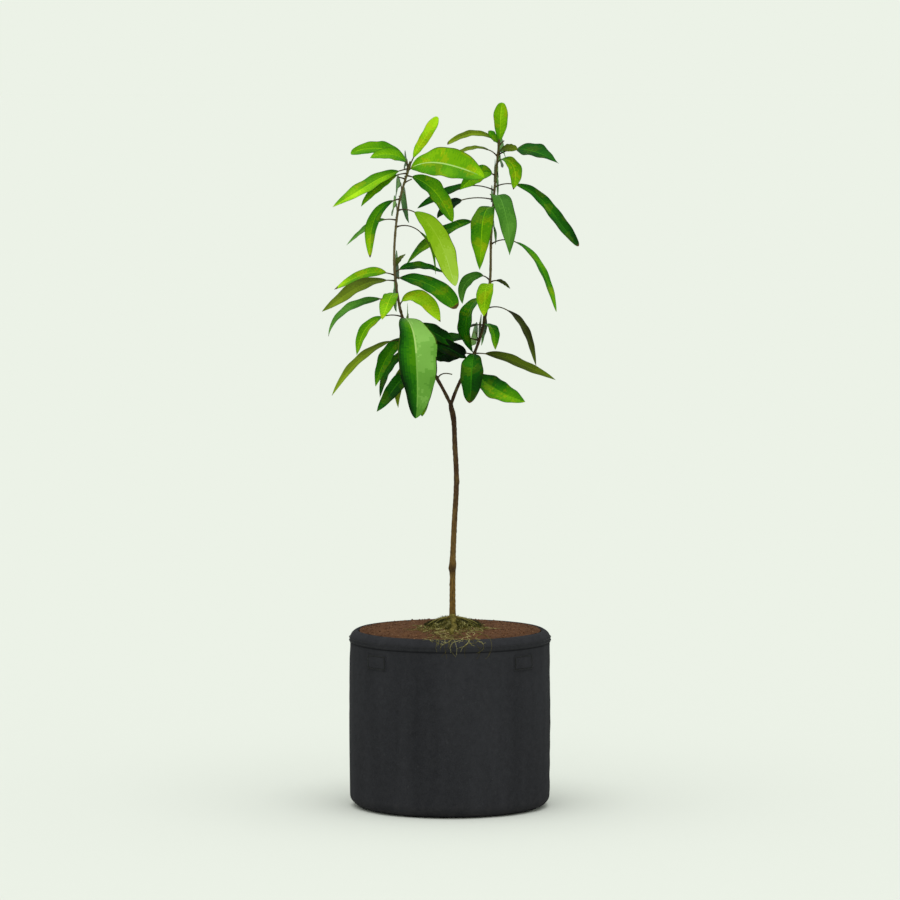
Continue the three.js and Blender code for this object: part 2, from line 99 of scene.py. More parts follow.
# Middle lines, as (z, x, y).
TRUNK_LINE = [
    (320, 4.5, 0), (430, 4.8, 0), (500, 7.5, 2), (580, 11.5, 3), (650, 8.5, 1), (690, 6.5, 0), (716, 1.5, 0),
]
BOUGH_LINES = {
    "left": [
        (700, 4, 0), (716, 1.5, 0), (762, -22, -5), (825, -60, -12), (872, -84, -16),
        (944, -97, -20), (1005, -98, -24), (1080, -89, -27), (1143, -71, -28),
    ],
    "right": [
        (700, 0, 0), (716, 1.5, 0), (754, 16, 4), (807, 43, 9), (864, 61, 13),
        (933, 71, 17), (1010, 73, 20), (1085, 78, 22), (1181, 87, 24),
    ],
}


# ---------------------------------------- numbers and lines
def srgb(red, green, blue):
    """A colour written as 0 to 255 on a screen, as linear light."""
    shares = [value / 255 for value in (red, green, blue)]
    return tuple(s / 12.92 if s < 0.04045 else ((s + 0.055) / 1.055) ** 2.4 for s in shares)


def mix(low, high, share):
    return low + (high - low) * share


def hump(value, middle, width):
    """1 at the middle, falling smoothly to 0 on both sides."""
    return np.exp(-(((value - middle) / width) ** 2))


def unit(vectors):
    return vectors / np.linalg.norm(vectors, axis=-1, keepdims=True)


def seeded(seed):
    """Park and Miller's generator, the same draws as the part's source takes."""
    state = seed

    def draw(low=0.0, high=1.0):
        nonlocal state
        state = (state * 16807) % 2147483647
        return mix(low, high, state / 2147483647)

    return draw


def ripples(points, length, seed, waves=7):
    """Smooth seeded unevenness at some points, about -1 to 1, with humps about this long."""
    chance = np.random.default_rng(seed)
    directions = unit(chance.normal(size=(waves, 3)))
    phases = chance.uniform(0, FULL_TURN, waves)
    return np.sin(points @ directions.T * (FULL_TURN / length) + phases).sum(axis=1) / math.sqrt(waves)


def polar(out, turn, middle=(0.0, 0.0)):
    """Points at height 0, by their distances and directions from a middle."""
    x = middle[0] + out * np.cos(turn)
    return np.stack([x, middle[1] + out * np.sin(turn), 0 * x], axis=-1)


def round_from(points, middle=(0.0, 0.0)):
    """The distances and directions of some points from an upright line through a middle."""
    x, y = points[:, 0] - middle[0], points[:, 1] - middle[1]
    return np.hypot(x, y), np.arctan2(y, x)


def degrees_from(turn, direction):
    """How far a turn is from a direction that is given in degrees, -180 to 180."""
    return (np.degrees(turn) - direction + 180) % 360 - 180


def climb(rows, z):
    """The point of a middle line at a height: a smooth curve through its (z, x, y) rows."""
    rows = np.array(rows, float)
    i = int(np.clip(np.searchsorted(rows[:, 0], z) - 1, 0, len(rows) - 2))
    span = rows[i + 1][0] - rows[i][0]
    t = (z - rows[i][0]) / span

    def slope(k):
        before, after = rows[max(k - 1, 0)], rows[min(k + 1, len(rows) - 1)]
        return (after - before) / (after[0] - before[0])

    ends = rows[i] * (1 + 2 * t) * (1 - t) ** 2 + rows[i + 1] * t * t * (3 - 2 * t)
    point = ends + span * (slope(i) * t * (1 - t) ** 2 - slope(i + 1) * t * t * (1 - t))
    return np.array([point[1], point[2], z])


MAT_MIDDLE = climb(TRUNK_LINE, SOIL_TOP)


# ---------------------------------------- meshes
class Heap:
    """Many small shapes gathered into one mesh, each face with the number of its finish."""

    def __init__(self):
        self.points = []
        self.faces = []
        self.tints = []
        self.count = 0

    def add(self, points, faces, tints=0):
        self.points.append(points)
        self.faces += [tuple(int(v) + self.count for v in face) for face in faces]
        self.tints += np.broadcast_to(tints, len(faces)).tolist()
        self.count += len(points)

    def make(self, name):
        mesh = bpy.data.meshes.new(name)
        mesh.from_pydata((np.concatenate(self.points) * MM).tolist(), [], self.faces)
        mesh.polygons.foreach_set("material_index", self.tints)
        piece = bpy.data.objects.new(name, mesh)
        bpy.context.scene.collection.objects.link(piece)
        return piece


def choose(piece):
    """Makes a piece the one that operators act on."""
    bpy.ops.object.select_all(action="DESELECT")
    piece.select_set(True)
    bpy.context.view_layer.objects.active = piece


def finished(piece, finishes, angle, slot, *nodes):
    """Gives a piece its finishes, smooths it up to an angle, and hands it to the frame."""
    for finish in finishes:
        piece.data.materials.append(finish)
    choose(piece)
    bpy.ops.object.shade_smooth_by_angle(angle=math.radians(angle))
    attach(piece, "root")
    if nodes:
        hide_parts(*nodes)


def read_vectors(vectors, name):
    """One vector for each of a mesh's vertices, such as its place or its normal."""
    values = np.zeros(len(vectors) * 3, np.float32)
    vectors.foreach_get(name, values)
    return values.reshape(-1, 3).astype(float)


def points_of(piece):
    """A piece's vertices, in millimetres."""
    return read_vectors(piece.data.vertices, "co") / MM


def move_points(piece, points):
    piece.data.vertices.foreach_set("co", (points * MM).astype(np.float32).ravel())
    piece.data.update()


def apply_modifier(piece, kind, **settings):
    choose(piece)
    modifier = piece.modifiers.new(kind.lower(), kind)
    for name, value in settings.items():
        setattr(modifier, name, value)
    bpy.ops.object.modifier_apply(modifier=modifier.name)


def select_whole_mesh():
    """Enters edit mode with the whole mesh selected."""
    bpy.ops.object.mode_set(mode="EDIT")
    bpy.ops.mesh.select_all(action="SELECT")


def face_outwards():
    """Turns all faces of the mesh that is being edited outwards, and leaves edit mode."""
    bpy.ops.mesh.select_all(action="SELECT")
    bpy.ops.mesh.normals_make_consistent(inside=False)
    bpy.ops.object.mode_set(mode="OBJECT")


def raised(name, profile, around):
    """A closed round shape: a small circle, extruded and resized through (radius, height) points."""
    bpy.ops.object.select_all(action="DESELECT")
    radius, height = profile[0]
    bpy.ops.mesh.primitive_circle_add(vertices=around, radius=radius * MM, location=(0, 0, height * MM))
    piece = bpy.context.active_object
    piece.name = name
    bpy.ops.object.transform_apply(location=True, rotation=True, scale=True)
    select_whole_mesh()
    for next_radius, next_height in profile[1:]:
        lift = (0, 0, (next_height - height) * MM)
        bpy.ops.mesh.extrude_edges_move(TRANSFORM_OT_translate={"value": lift})
        grow = next_radius / radius
        bpy.ops.transform.resize(value=(grow, grow, 1), center_override=(0, 0, 0))
        radius, height = next_radius, next_height
    bpy.ops.mesh.select_all(action="SELECT")
    bpy.ops.mesh.fill_holes(sides=0)
    face_outwards()
    return piece


def tube(line, radii, sides):
    """Points and faces of a closed round tube along a line of points."""
    forward = unit(np.gradient(line, axis=0))
    start = np.array([0.0, 0.0, 1.0]) if abs(forward[0][2]) < 0.9 else np.array([1.0, 0.0, 0.0])
    side = np.cross(forward[0], start)
    across = []
    for heading in forward:
        side = side - heading * side.dot(heading)
        side = side / np.linalg.norm(side)
        across.append(side)
    across = np.array(across)[:, None]
    upward = np.cross(forward, across[:, 0])[:, None]
    turns = (np.arange(sides) * FULL_TURN / sides)[:, None]
    ring = across * np.cos(turns) + upward * np.sin(turns)
    points = (line[:, None] + ring * np.asarray(radii)[:, None, None]).reshape(-1, 3)
    faces = []
    for a in range(0, len(points) - sides, sides):
        for j in range(sides):
            k = (j + 1) % sides
            faces.append((a + j, a + k, a + sides + k, a + sides + j))
    faces.append(tuple(range(sides - 1, -1, -1)))
    faces.append(tuple(range(len(points) - sides, len(points))))
    return points, faces


# ---------------------------------------- finishes
class Wire:
    """A node's output, on which arithmetic adds Math nodes."""

    def __init__(self, finish, socket):
        self.finish = finish
        self.socket = socket

    def maths(self, operation, first, second):
        return self.finish.node("ShaderNodeMath", {"operation": operation}, {0: first, 1: second})

    def __add__(self, other):
        return self.maths("ADD", self, other)

    def __sub__(self, other):
        return self.maths("SUBTRACT", self, other)

    def __rsub__(self, other):
        return self.maths("SUBTRACT", other, self)

    def __mul__(self, other):
        return self.maths("MULTIPLY", self, other)

    def __truediv__(self, other):
        return self.maths("DIVIDE", self, other)

    def __pow__(self, other):
        return self.maths("POWER", self, other)

    __radd__ = __add__
    __rmul__ = __mul__


class Finish:
    """A material, and the few ways in which this object's finishes add nodes to it."""

    def __init__(self, name, colour, roughness, gloss):
        self.material = bpy.data.materials.new(name)
        self.material.use_nodes = True
        self.material.diffuse_color = (*colour, 1)
        self.tree = self.material.node_tree
        self.shader = self.tree.nodes["Principled BSDF"]
        self.set("Base Color", (*colour, 1))
        self.set("Roughness", roughness)
        self.set("Specular IOR Level", gloss)

    def set(self, name, value):
        self.plug(self.shader.inputs[name], value)

    def plug(self, socket, value):
        if isinstance(value, Wire):
            self.tree.links.new(value.socket, socket)
        else:
            socket.default_value = value

    def node(self, kind, settings=None, inputs=None, output=0):
        """Adds a node: first its settings, then the values or links of its sockets."""
        node = self.tree.nodes.new(kind)
        for name, value in (settings or {}).items():
            if name == "stops":
                self.set_stops(node.color_ramp.elements, value)
            else:
                setattr(node, name, value)
        for key, value in (inputs or {}).items():
            self.plug(node.inputs[key], value)
        return Wire(self, node.outputs[output])

    def set_stops(self, elements, stops):
        while len(elements) < len(stops):
            elements.new(1)
        for element, (position, colour) in zip(elements, stops):
            element.position = position
            element.color = (*srgb(*colour), 1)

    def axis(self, name):
        """The place along the X, Y or Z axis, in millimetres."""
        where = self.node("ShaderNodeTexCoord", output="Object")
        return self.node("ShaderNodeSeparateXYZ", inputs={0: where}, output=name) / MM

    def noise(self, length, detail=3.0, rough=0.55, stretch=(1, 1, 1)):
        """Noise from 0 to 1 with spots about this many millimetres long."""
        where = self.node("ShaderNodeTexCoord", output="Object")
        scale = tuple(s / length / MM for s in stretch)
        spot = self.node("ShaderNodeMapping", inputs={"Vector": where, "Scale": scale})
        values = {"Vector": spot, "Scale": 1.0, "Detail": detail, "Roughness": rough}
        return self.node("ShaderNodeTexNoise", inputs=values, output="Fac")

    def span(self, value, low, high, to_low=0.0, to_high=1.0):
        """A value's place between low and high, kept within 0 and 1 and brought to a new range."""
        values = {0: value, 1: low, 2: high, 3: to_low, 4: to_high}
        return self.node("ShaderNodeMapRange", {"clamp": True}, values)

    def paint(self, value, stops, *layers):
        """The base colour: a ramp along a value, and over it each layer's (share, screen colour)."""
        colour = self.node("ShaderNodeValToRGB", {"stops": stops}, {0: value}, output="Color")
        for share, over in layers:
            values = {0: share, 6: colour, 7: (*srgb(*over), 1)}
            colour = self.node("ShaderNodeMix", {"data_type": "RGBA"}, values, output=2)
        self.set("Base Color", colour)

    def bump(self, height, depth, strength=0.9):
        """Turns a height from 0 to 1 into relief this many millimetres deep."""
        values = {"Height": height, "Distance": depth * MM, "Strength": strength}
        self.set("Normal", self.node("ShaderNodeBump", inputs=values))


def felt_finish():
    """Charcoal needle felt: matted fibres, lint, dust towards the foot, and painted shade in the fold under
    the hem.
    """
    felt = Finish("charcoal_felt", srgb(38, 39, 43), 0.95, 0.03)
    fibres = felt.noise(0.9, detail=4, stretch=(1, 1, 0.45))
    clumps = felt.noise(9, detail=4)
    bands = felt.noise(70, detail=2, stretch=(1, 1, 0.12))
    lint = felt.span(felt.noise(2.2, detail=2, stretch=(1, 1, 0.3)), 0.68, 0.76)
    height = felt.axis("Z")
    dust = felt.span(height + 26 * felt.noise(24), 42, 8) * felt.span(clumps, 0.35, 0.75)
    # painted shade: a dark band just under the hem's foot, where the hem shades the wall
    in_crease_shade = felt.span(height, HEM_FOOT - 2.5, HEM_FOOT - 0.5)
    crease_shade = in_crease_shade * (1 - felt.span(height, HEM_FOOT, HEM_FOOT + 1.5))
    felt.paint(
        bands * 0.65 + clumps * 0.35,
        [(0.3, (29, 29, 32)), (0.72, (49, 49, 53))],
        (felt.span(fibres, 0.35, 0.7, 0, 0.45), (59, 59, 64)),
        (lint * 0.1, (112, 112, 116)),
        (dust * 0.16, (78, 70, 62)),
        # the painted shade under the hem
        (crease_shade * 0.75, (16, 16, 18)),
    )
    felt.set("Roughness", felt.span(fibres, 0.2, 0.8, 0.86, 1.0))
    felt.bump(fibres * 0.7 + clumps * 0.3, 0.5)
    return felt.material


def thread_finish():
    """Twisted black sewing thread."""
    thread = Finish("black_thread", srgb(20, 21, 22), 0.6, 0.3)
    thread.paint(thread.noise(0.5, detail=1), [(0.3, (13, 13, 14)), (0.7, (34, 35, 37))])
    return thread.material


def soil_finish():
    """Moist brown potting soil, with painted shade against the rim, where the bag's wall shades it."""
    soil = Finish("potting_soil", srgb(80, 55, 38), 0.95, 0.05)
    grains = soil.noise(1.6, detail=5, rough=0.65)
    lumps = soil.noise(14, detail=4)
    x, y = soil.axis("X"), soil.axis("Y")
    # painted shade: the soil darkens towards the rim
    rim = soil.span((x * x + y * y) ** 0.5 + 10 * lumps, 140, 176)
    stops = [(0.28, (60, 38, 25)), (0.5, (84, 56, 38)), (0.74, (108, 77, 54))]
    soil.paint(grains * 0.55 + lumps * 0.45, stops, (rim * 0.55, (60, 38, 25)))
    soil.set("Roughness", soil.span(lumps, 0.3, 0.7, 0.8, 1.0))
    soil.bump(grains * 0.6 + lumps * 0.4, 1.4)
    return soil.material


def moss_finish():
    """The matted ground under the moss tufts."""
    moss = Finish("moss_mat", srgb(66, 66, 28), 0.95, 0.05)
    patches = moss.noise(11, detail=4)
    grains = moss.noise(1.8, detail=4)
    stops = [(0.3, (24, 20, 10)), (0.48, (44, 42, 17)), (0.72, (86, 80, 32))]
    moss.paint(patches * 0.6 + grains * 0.4, stops)
    moss.bump(grains, 1.2)
    return moss.material


def mossy_root_finish():
    """Pale root bark under a thin film of moss."""
    root = Finish("mossy_root", srgb(98, 92, 38), 0.9, 0.05)
    film = root.noise(7, detail=4)
    threads = root.noise(1.4, detail=3, stretch=(1, 0.4, 1))
    stops = [(0.34, (42, 42, 16)), (0.5, (92, 82, 36)), (0.68, (146, 134, 78))]
    root.paint(film * 0.55 + threads * 0.45, stops)
    root.bump(threads, 0.8)
    return root.material


def bark_finish(name, by_height, cracks, pale, scars=()):
    """Young bark whose colour changes with height: dark cracks and scars, pale blotches and pores."""
    bark = Finish(name, srgb(*by_height[0][1]), 0.8, 0.12)
    low, high = by_height[0][0], by_height[-1][0]
    height = bark.axis("Z")
    streaks = bark.noise(1.5, detail=4, stretch=(1, 1, 0.16))
    blotches = bark.noise(13, detail=3, stretch=(1, 1, 0.5))
    pores = bark.span(bark.noise(1.1, detail=1, stretch=(1, 1, 2.2)), 0.69, 0.74)
    uneven = height + 7 * blotches
    rings = [bark.span(uneven, z - 8, z - 1) * (1 - bark.span(uneven, z + 5, z + 16)) for z in scars]
    bark.paint(
        bark.span(height, low, high),
        [((z - low) / (high - low), colour) for z, colour in by_height],
        (bark.span(streaks, 0.62, 0.38, 0, cracks), (34, 24, 15)),
        (bark.span(blotches, 0.52, 0.74, 0, 0.5), pale),
        *[(ring * 0.7, (44, 26, 14)) for ring in rings],
        (pores * 0.5, (168, 146, 108)),
    )
    bark.set("Roughness", bark.span(streaks, 0.3, 0.7, 0.68, 0.92))
    bark.bump(streaks * 0.75 + blotches * 0.25, 0.35, 0.8)
    return bark.material


def shades(count, *stops):
    """Evenly spaced colours along a row of screen colours."""
    places = np.linspace(0, len(stops) - 1, count)
    rows = np.array([srgb(*stop) for stop in stops]) ** (1 / 2.2)
    channels = [np.interp(places, np.arange(len(stops)), rows[:, k]) for k in range(3)]
    return [tuple(float(v) ** 2.2 for v in colour) for colour in zip(*channels)]


def plain_finishes(name, colours, roughness, gloss):
    """Plain base colours that are dealt out by face."""
    return [Finish(f"{name}_{i:02d}", c, roughness, gloss).material for i, c in enumerate(colours)]


SOIL_SHADES = shades(6, (74, 48, 33), (96, 66, 46), (124, 91, 66))
MOSS_SHADES = shades(7, (26, 28, 10), (54, 54, 18), (92, 90, 28), (132, 124, 44))
ROOT_SHADES = shades(5, (74, 66, 32), (118, 110, 58), (172, 164, 110))
STALK_SHADES = shades(5, (58, 46, 28), (78, 70, 34), (112, 124, 44))

# Leaf colours, dark to light, in rows of plain tints; a face takes one by its share of a row.
LEAF_ROWS = {
    "green": shades(
        17, (6, 20, 6), (9, 44, 6), (17, 74, 6), (38, 106, 6), (76, 138, 4), (112, 168, 4), (162, 210, 22)
    ),
    "warm": shades(
        12, (16, 24, 6), (26, 48, 6), (40, 80, 6), (68, 114, 6), (104, 144, 4), (138, 170, 6), (172, 202, 24)
    ),
    "olive": shades(10, (30, 32, 10), (54, 66, 12), (84, 104, 14), (122, 146, 22)),
    # grey-greens: the own colour of grey-green leaves, and the painted sheen on one half of a blade
    "glaucous": shades(11, (22, 60, 16), (54, 106, 28), (94, 150, 52), (148, 196, 100)),
    "pale": shades(8, (96, 148, 6), (120, 164, 10), (146, 184, 46), (172, 204, 98)),
    "margin": shades(5, (16, 22, 6), (38, 54, 10), (84, 108, 18)),
    "rib": shades(4, (76, 140, 34), (204, 226, 146)),
    "dry": shades(2, (78, 62, 30), (112, 96, 46)),
}
ROW_STARTS = dict(zip(LEAF_ROWS, np.cumsum([0] + [len(colours) for colours in LEAF_ROWS.values()])))

# A leaf's row of tints, and its place in that row at its foot and at its tip. Lighter and darker tints
# partly stand in for the crown's light and shade, painted into the leaves.
TINTS = {
    "bright_lime": ("green", 0.94, 1.0),
    "pale_ribbed": ("green", 0.82, 0.76),
    "paling": ("pale", 0.2, 0.86),
    "lime": ("green", 0.72, 0.88),
    "fresh": ("green", 0.62, 0.78),
    "mid": ("green", 0.5, 0.62),
    "mid_to_deep": ("green", 0.6, 0.3),
    "deep": ("green", 0.42, 0.34),
    "dark": ("green", 0.26, 0.36),
    # painted shadow: near-black leaves where the crown's shade falls
    "shade": ("green", 0.06, 0.18),
    "dark_to_mid": ("green", 0.42, 0.72),
    "dark_to_lime": ("green", 0.42, 0.92),
    # painted light: a painted sheen on one half, painted shade on the other
    "sheen_and_shade_halves": ("green", 0.66, 0.36),
    "straw": ("olive", 0.6, 1.0),
    "olive": ("olive", 0.3, 0.74),
    "olive_green": ("olive", 0.5, 0.8),
    "brown": ("olive", 0.04, 0.4),
    "glaucous": ("glaucous", 0.3, 0.6),
    "green_glaucous": ("green", 0.42, 0.58),
    "grey_green": ("glaucous", 0.3, 0.66),
    "glaucous_dark": ("glaucous", 0.0, 0.3),
}
OTHER_HALF = {"sheen_and_shade_halves": ("glaucous", 1.04, 0.7)}  # the row of one half, where a blade's halves differ: painted sheen on that half
PALE_RIBS = {"sheen_and_shade_halves": 0.08, "pale_ribbed": 0.07}  # half the rib's width over half the blade's
RIB_WIDTH = 0.045


# ---------------------------------------- the leaves' places
@dataclass(frozen=True)
class Leaf:
    """tint: its name in TINTS. at: share of the way up its flush.
    facing: compass angle, 0 to the right, 90 to the back. stalk, blade: lengths.
    rise, fall: pitch where it leaves the bough and at its tip.
    roll: turns the upper face round the leaf's own line. broad: width over length.
    bend: over 1 it turns down early, under 1 near its tip. widest: where along the blade.
    sway: how far the tip bends sideways, over the length."""

    tint: str
    at: float
    facing: float
    stalk: float
    blade: float
    rise: float
    fall: float
    roll: float = 0.0
    broad: float = 0.22
    bend: float = 2.0
    widest: float = 0.44
    sway: float = 0.0


@dataclass(frozen=True)
class Flush:
    """A length of bough, its leading leaves, and the number of spare ones that fill the back."""

    name: str
    side: str
    low: float
    high: float
    spare: int
    slot: str
    leaves: list


FLUSHES = [
    Flush("left_low", "left", 757, 884, 4, "leaf_green", [
        Leaf("mid", 0.80, -68, 8, 184, -6, -94, 0, 0.2, 2, 0.5),
        Leaf("sheen_and_shade_halves", 0.90, -70, 10, 212, 6, -98, 0, 0.33, 2, 0.5, 0.04),
        Leaf("dark_to_mid", 0.66, 198, 12, 104, -14, -74, -42, 0.26),
        Leaf("straw", 0.58, 206, 46, 152, 16, -52, -24, 0.13),
        Leaf("deep", 0.46, 164, 24, 100, 6, -76, -66, 0.2),
        Leaf("deep", 0.27, 214, 28, 110, -12, -50, -40, 0.24),
        Leaf("straw", 0.38, 214, 14, 104, 2, -90, -20, 0.2),
        Leaf("lime", 0.92, 190, 37, 86, 22, -82, -46, 0.24, 1.4),
        Leaf("mid", 0.04, 15, 32, 0, 84, -14),
        Leaf("shade", 0.56, 12, 20, 80, 6, -28, 58, 0.36),
        Leaf("dark", 0.78, 16, 18, 82, 6, -36, 62, 0.38),
    ]),
    Flush("left_middle", "left", 884, 968, 3, "leaf_lime", [
        Leaf("lime", 0.76, 150, 18, 114, 18, -27, -55, 0.2),
        Leaf("olive_green", 0.64, 213, 18, 147, 10, -32, -30, 0.18),
        Leaf("glaucous", 0.24, 162, 33, 128, 8, -86, -50, 0.16, 0.6),
        Leaf("lime", 0.36, 250, 6, 84, 16, -52, 0, 0.34),
        Leaf("deep", 0.82, 28, 10, 96, 32, -18, 44, 0.2),
        Leaf("green_glaucous", 0.70, -28, 8, 130, 6, -52, 50, 0.24, 1, 0.62),
        Leaf("bright_lime", 0.12, -26, 8, 98, 66, -58, 42, 0.32),
        Leaf("olive", 0.88, 62, 6, 42, 62, 20, 0, 0.3),
    ]),
    Flush("left_top", "left", 1018, 1143, 4, "leaf_lime", [
        Leaf("bright_lime", 0.98, 8, 16, 85, 66, 56, 62, 0.23, 2, 0.6),
        Leaf("fresh", 0.97, 150, 15, 118, 62, -14, -50, 0.22, 2, 0.6),
        Leaf("fresh", 0.96, 206, 12, 74, 70, -14, -55, 0.34),
        Leaf("lime", 0.95, 206, 20, 142, -10, -32, -40, 0.2),
        Leaf("fresh", 0.88, 206, 20, 90, 2, -50, -52, 0.19),
        Leaf("dark_to_lime", 0.52, 198, 12, 118, -6, -94, -40, 0.2, 1.7, 0.5),
        Leaf("grey_green", 0.22, 148, 24, 96, 12, -42, -50, 0.15),
        Leaf("pale_ribbed", 0.93, -36, 6, 164, 30, -22, 58, 0.34, 2, 0.5),
        Leaf("fresh", 0.85, 12, 10, 112, -8, -62, 58, 0.34, 2, 0.5),
        Leaf("paling", 0.36, -34, 36, 160, 16, -66, 38, 0.25, 3, 0.52),
        Leaf("fresh", 0.12, 14, 46, 84, 24, -84, 0, 0.22),
        Leaf("mid", 0.80, 152, 16, 0, 20, 10),
        Leaf("mid", 0.74, 20, 16, 0, 40, 20),
    ]),
    Flush("right_low", "right", 788, 912, 3, "leaf_deep_green", [
        Leaf("deep", 0.14, -92, 10, 104, 16, -96, 0, 0.36, 2, 0.52, 0.07),
        Leaf("dark_to_mid", 0.03, -26, 24, 108, -66, -14, 48, 0.36),
        Leaf("olive", 0.16, 22, 20, 147, 0, -28, 60, 0.14),
        Leaf("mid", 0.56, -52, 4, 62, 30, -88, 0, 0.34),
        Leaf("brown", 0.80, -36, 45, 120, 22, -73, 8, 0.15),
        Leaf("mid_to_deep", 0.94, 214, 16, 112, 20, -112, 0, 0.38),
        Leaf("shade", 0.14, 158, 14, 74, 14, -14, -58, 0.52),
        Leaf("glaucous_dark", 0.34, 162, 16, 88, 18, -14, -50, 0.2),
        Leaf("dark", 0.56, 140, 16, 76, 10, -44, -20, 0.26),
    ]),
    Flush("right_middle", "right", 912, 956, 0, "leaf_lime", [
        Leaf("brown", 0.48, 10, 12, 30, 40, -44, 40, 0.34),
        Leaf("grey_green", 0.55, 182, 15, 74, 58, -92, -50, 0.28, 1.7),
        Leaf("bright_lime", 0.38, 256, 8, 74, 30, -92, 0, 0.4),
    ]),
    Flush("right_upper", "right", 996, 1083, 3, "leaf_green", [
        Leaf("mid", 0.06, -26, 50, 152, 36, -70, 18, 0.12, 2.6, 0.5),
        Leaf("mid", 0.50, 172, 36, 144, 14, -46, -46, 0.2),
        Leaf("fresh", 0.80, 250, 5, 146, 20, -96, 0, 0.26, 2, 0.42),
        Leaf("glaucous", 0.93, -76, 8, 152, 50, -98, 0, 0.23, 2, 0.4, -0.08),
        Leaf("shade", 0.97, 190, 58, 56, 14, -72, -50, 0.36, 0.6),
    ]),
    Flush("right_top", "right", 1083, 1181, 4, "leaf_deep_green", [
        Leaf("deep", 0.20, 20, 40, 168, 29, -52, 62, 0.16, 3.3, 0.58),
        Leaf("dark", 0.14, 176, 42, 106, 28, -34, -52, 0.17, 2, 0.5),
        Leaf("fresh", 0.40, 196, 8, 70, 40, -50, -60, 0.42, 2, 0.4),
        Leaf("lime", 0.62, -38, 14, 72, 64, -100, 24, 0.36),
        Leaf("deep", 0.78, -28, 40, 88, 32, -25, 34, 0.42, 2, 0.34),
        Leaf("olive", 0.82, -46, 5, 46, 44, -12, 40, 0.4, 2, 0.5),
        Leaf("straw", 0.98, 152, 12, 100, 50, -24, -50, 0.15, 2, 0.66),
        Leaf("olive_green", 0.75, 212, 20, 80, 48, -20, -20, 0.17),
        Leaf("lime", 0.98, 50, 4, 70, 78, 89, 40, 0.34, 2, 0.62),
        Leaf("mid", 0.97, 196, 3, 28, 62, 44, -60, 0.56, 2, 0.55),
        Leaf("mid", 0.93, 14, 15, 0, 62, 40),
    ]),
]

# Spare leaves: seeded ones that fill a flush towards the back, where they find room.
SPARE = {
    "at": (0.3, 0.95),
    "facing": (84, 97),
    "stalk": (14, 30),
    "blade": (105, 160),
    "rise": (12, 48),
    "fall": (-46, -16),
    "roll": (76, 90),  # turns the upper face away from the other bough
    "broad": (0.2, 0.26),
}
SPARE_TRIES = 60
SPARE_TINTS = ["mid", "deep", "fresh", "mid_to_deep"]
DEEPEST = 186  # the crown's half depth, which no spare leaf passes
OWN_ROOM = 0.35  # share of the clearance kept to leaves of the same flush
ROOM_STEPS = 9
LEAST_ROOM = 4
SHARED_STEPS = 2  # a leaf's first balls may stand in another's room
LIMB_ROOM = 5
LIMB_STEP = 10
SPARE_SEED = 1000
SPARE_SEED_STEP = 77

SPINE_STEPS = 24
FOOT_BLUNTNESS = 0.7  # under 1 the blade widens quickly from its foot


def half_width(leaf, t):
    """Half a blade's width at a share of its length."""
    tip_bluntness = FOOT_BLUNTNESS * (1 - leaf.widest) / leaf.widest
    foot = (t / leaf.widest) ** FOOT_BLUNTNESS
    tip = ((1 - t) / (1 - leaf.widest)) ** tip_bluntness
    return leaf.blade * leaf.broad * foot * tip / 2


class Spine:
    """The leaf's own line: stalk and blade as one arch."""

    def __init__(self, flush, leaf):
        self.leaf = leaf
        self.length = leaf.stalk + leaf.blade
        self.root = climb(BOUGH_LINES[flush.side], mix(flush.low, flush.high, leaf.at))
        heading = math.radians(leaf.facing)
        self.heading = np.array([math.cos(heading), math.sin(heading), 0])
        self.level = np.array([math.sin(heading), -math.cos(heading), 0])
        step = self.length / SPINE_STEPS
        forwards = [self.forward((i + 0.5) / SPINE_STEPS) * step for i in range(SPINE_STEPS)]
        self.points = np.vstack([self.root, self.root + np.cumsum(forwards, axis=0)])

    def forward(self, u):
        bent = 1 - (1 - u) ** self.leaf.bend
        pitch = math.radians(mix(self.leaf.rise, self.leaf.fall, bent))
        return self.heading * math.cos(pitch) + UP * math.sin(pitch)

    def at(self, u):
        """Point, direction across the blade and direction of its upper face."""
        step = min(int(u * SPINE_STEPS), SPINE_STEPS - 1)
        point = mix(self.points[step], self.points[step + 1], u * SPINE_STEPS - step)
        up = np.cross(self.level, self.forward(u))
        roll = math.radians(self.leaf.roll)
        across = self.level * math.cos(roll) - up * math.sin(roll)
        face = up * math.cos(roll) + self.level * math.sin(roll)
        sideways = self.leaf.sway * self.leaf.blade * self.share_of_blade(u) ** 2
        return point + across * sideways, across, face

    def share_of_blade(self, u):
        """How far along its blade a share of the whole line is."""
        return max(u * self.length - self.leaf.stalk, 0) / max(self.leaf.blade, 1)

    def on_blade(self, t):
        """The same as at, by a share of the blade's own length."""
        return self.at((self.leaf.stalk + t * self.leaf.blade) / self.length)


def room_of(flush, leaf):
    """Balls round a leaf's blade: the room it takes up."""
    spine = Spine(flush, leaf)
    shares = [i / ROOM_STEPS for i in range(1, ROOM_STEPS + 1)]
    return [(flush.name, spine.on_blade(t)[0], max(LEAST_ROOM, half_width(leaf, t))) for t in shares]


def room_of_limb(rows):
    """Balls round a bough, from the fork to its tip."""
    top = rows[-1][0]
    count = math.ceil((top - FORK) / LIMB_STEP)
    return [("limb", climb(rows, mix(FORK, top, i / count)), LIMB_ROOM) for i in range(count + 1)]


def is_clear(balls, taken):
    """Whether a leaf's balls stay within the crown's depth and clear of the room that is taken."""
    for owner, point, radius in balls:
        if abs(point[1]) + radius >= DEEPEST:
            return False
        for other, centre, size in taken:
            share = OWN_ROOM if other == owner else 1
            if np.linalg.norm(point - centre) <= share * (radius + size):
                return False
    return True


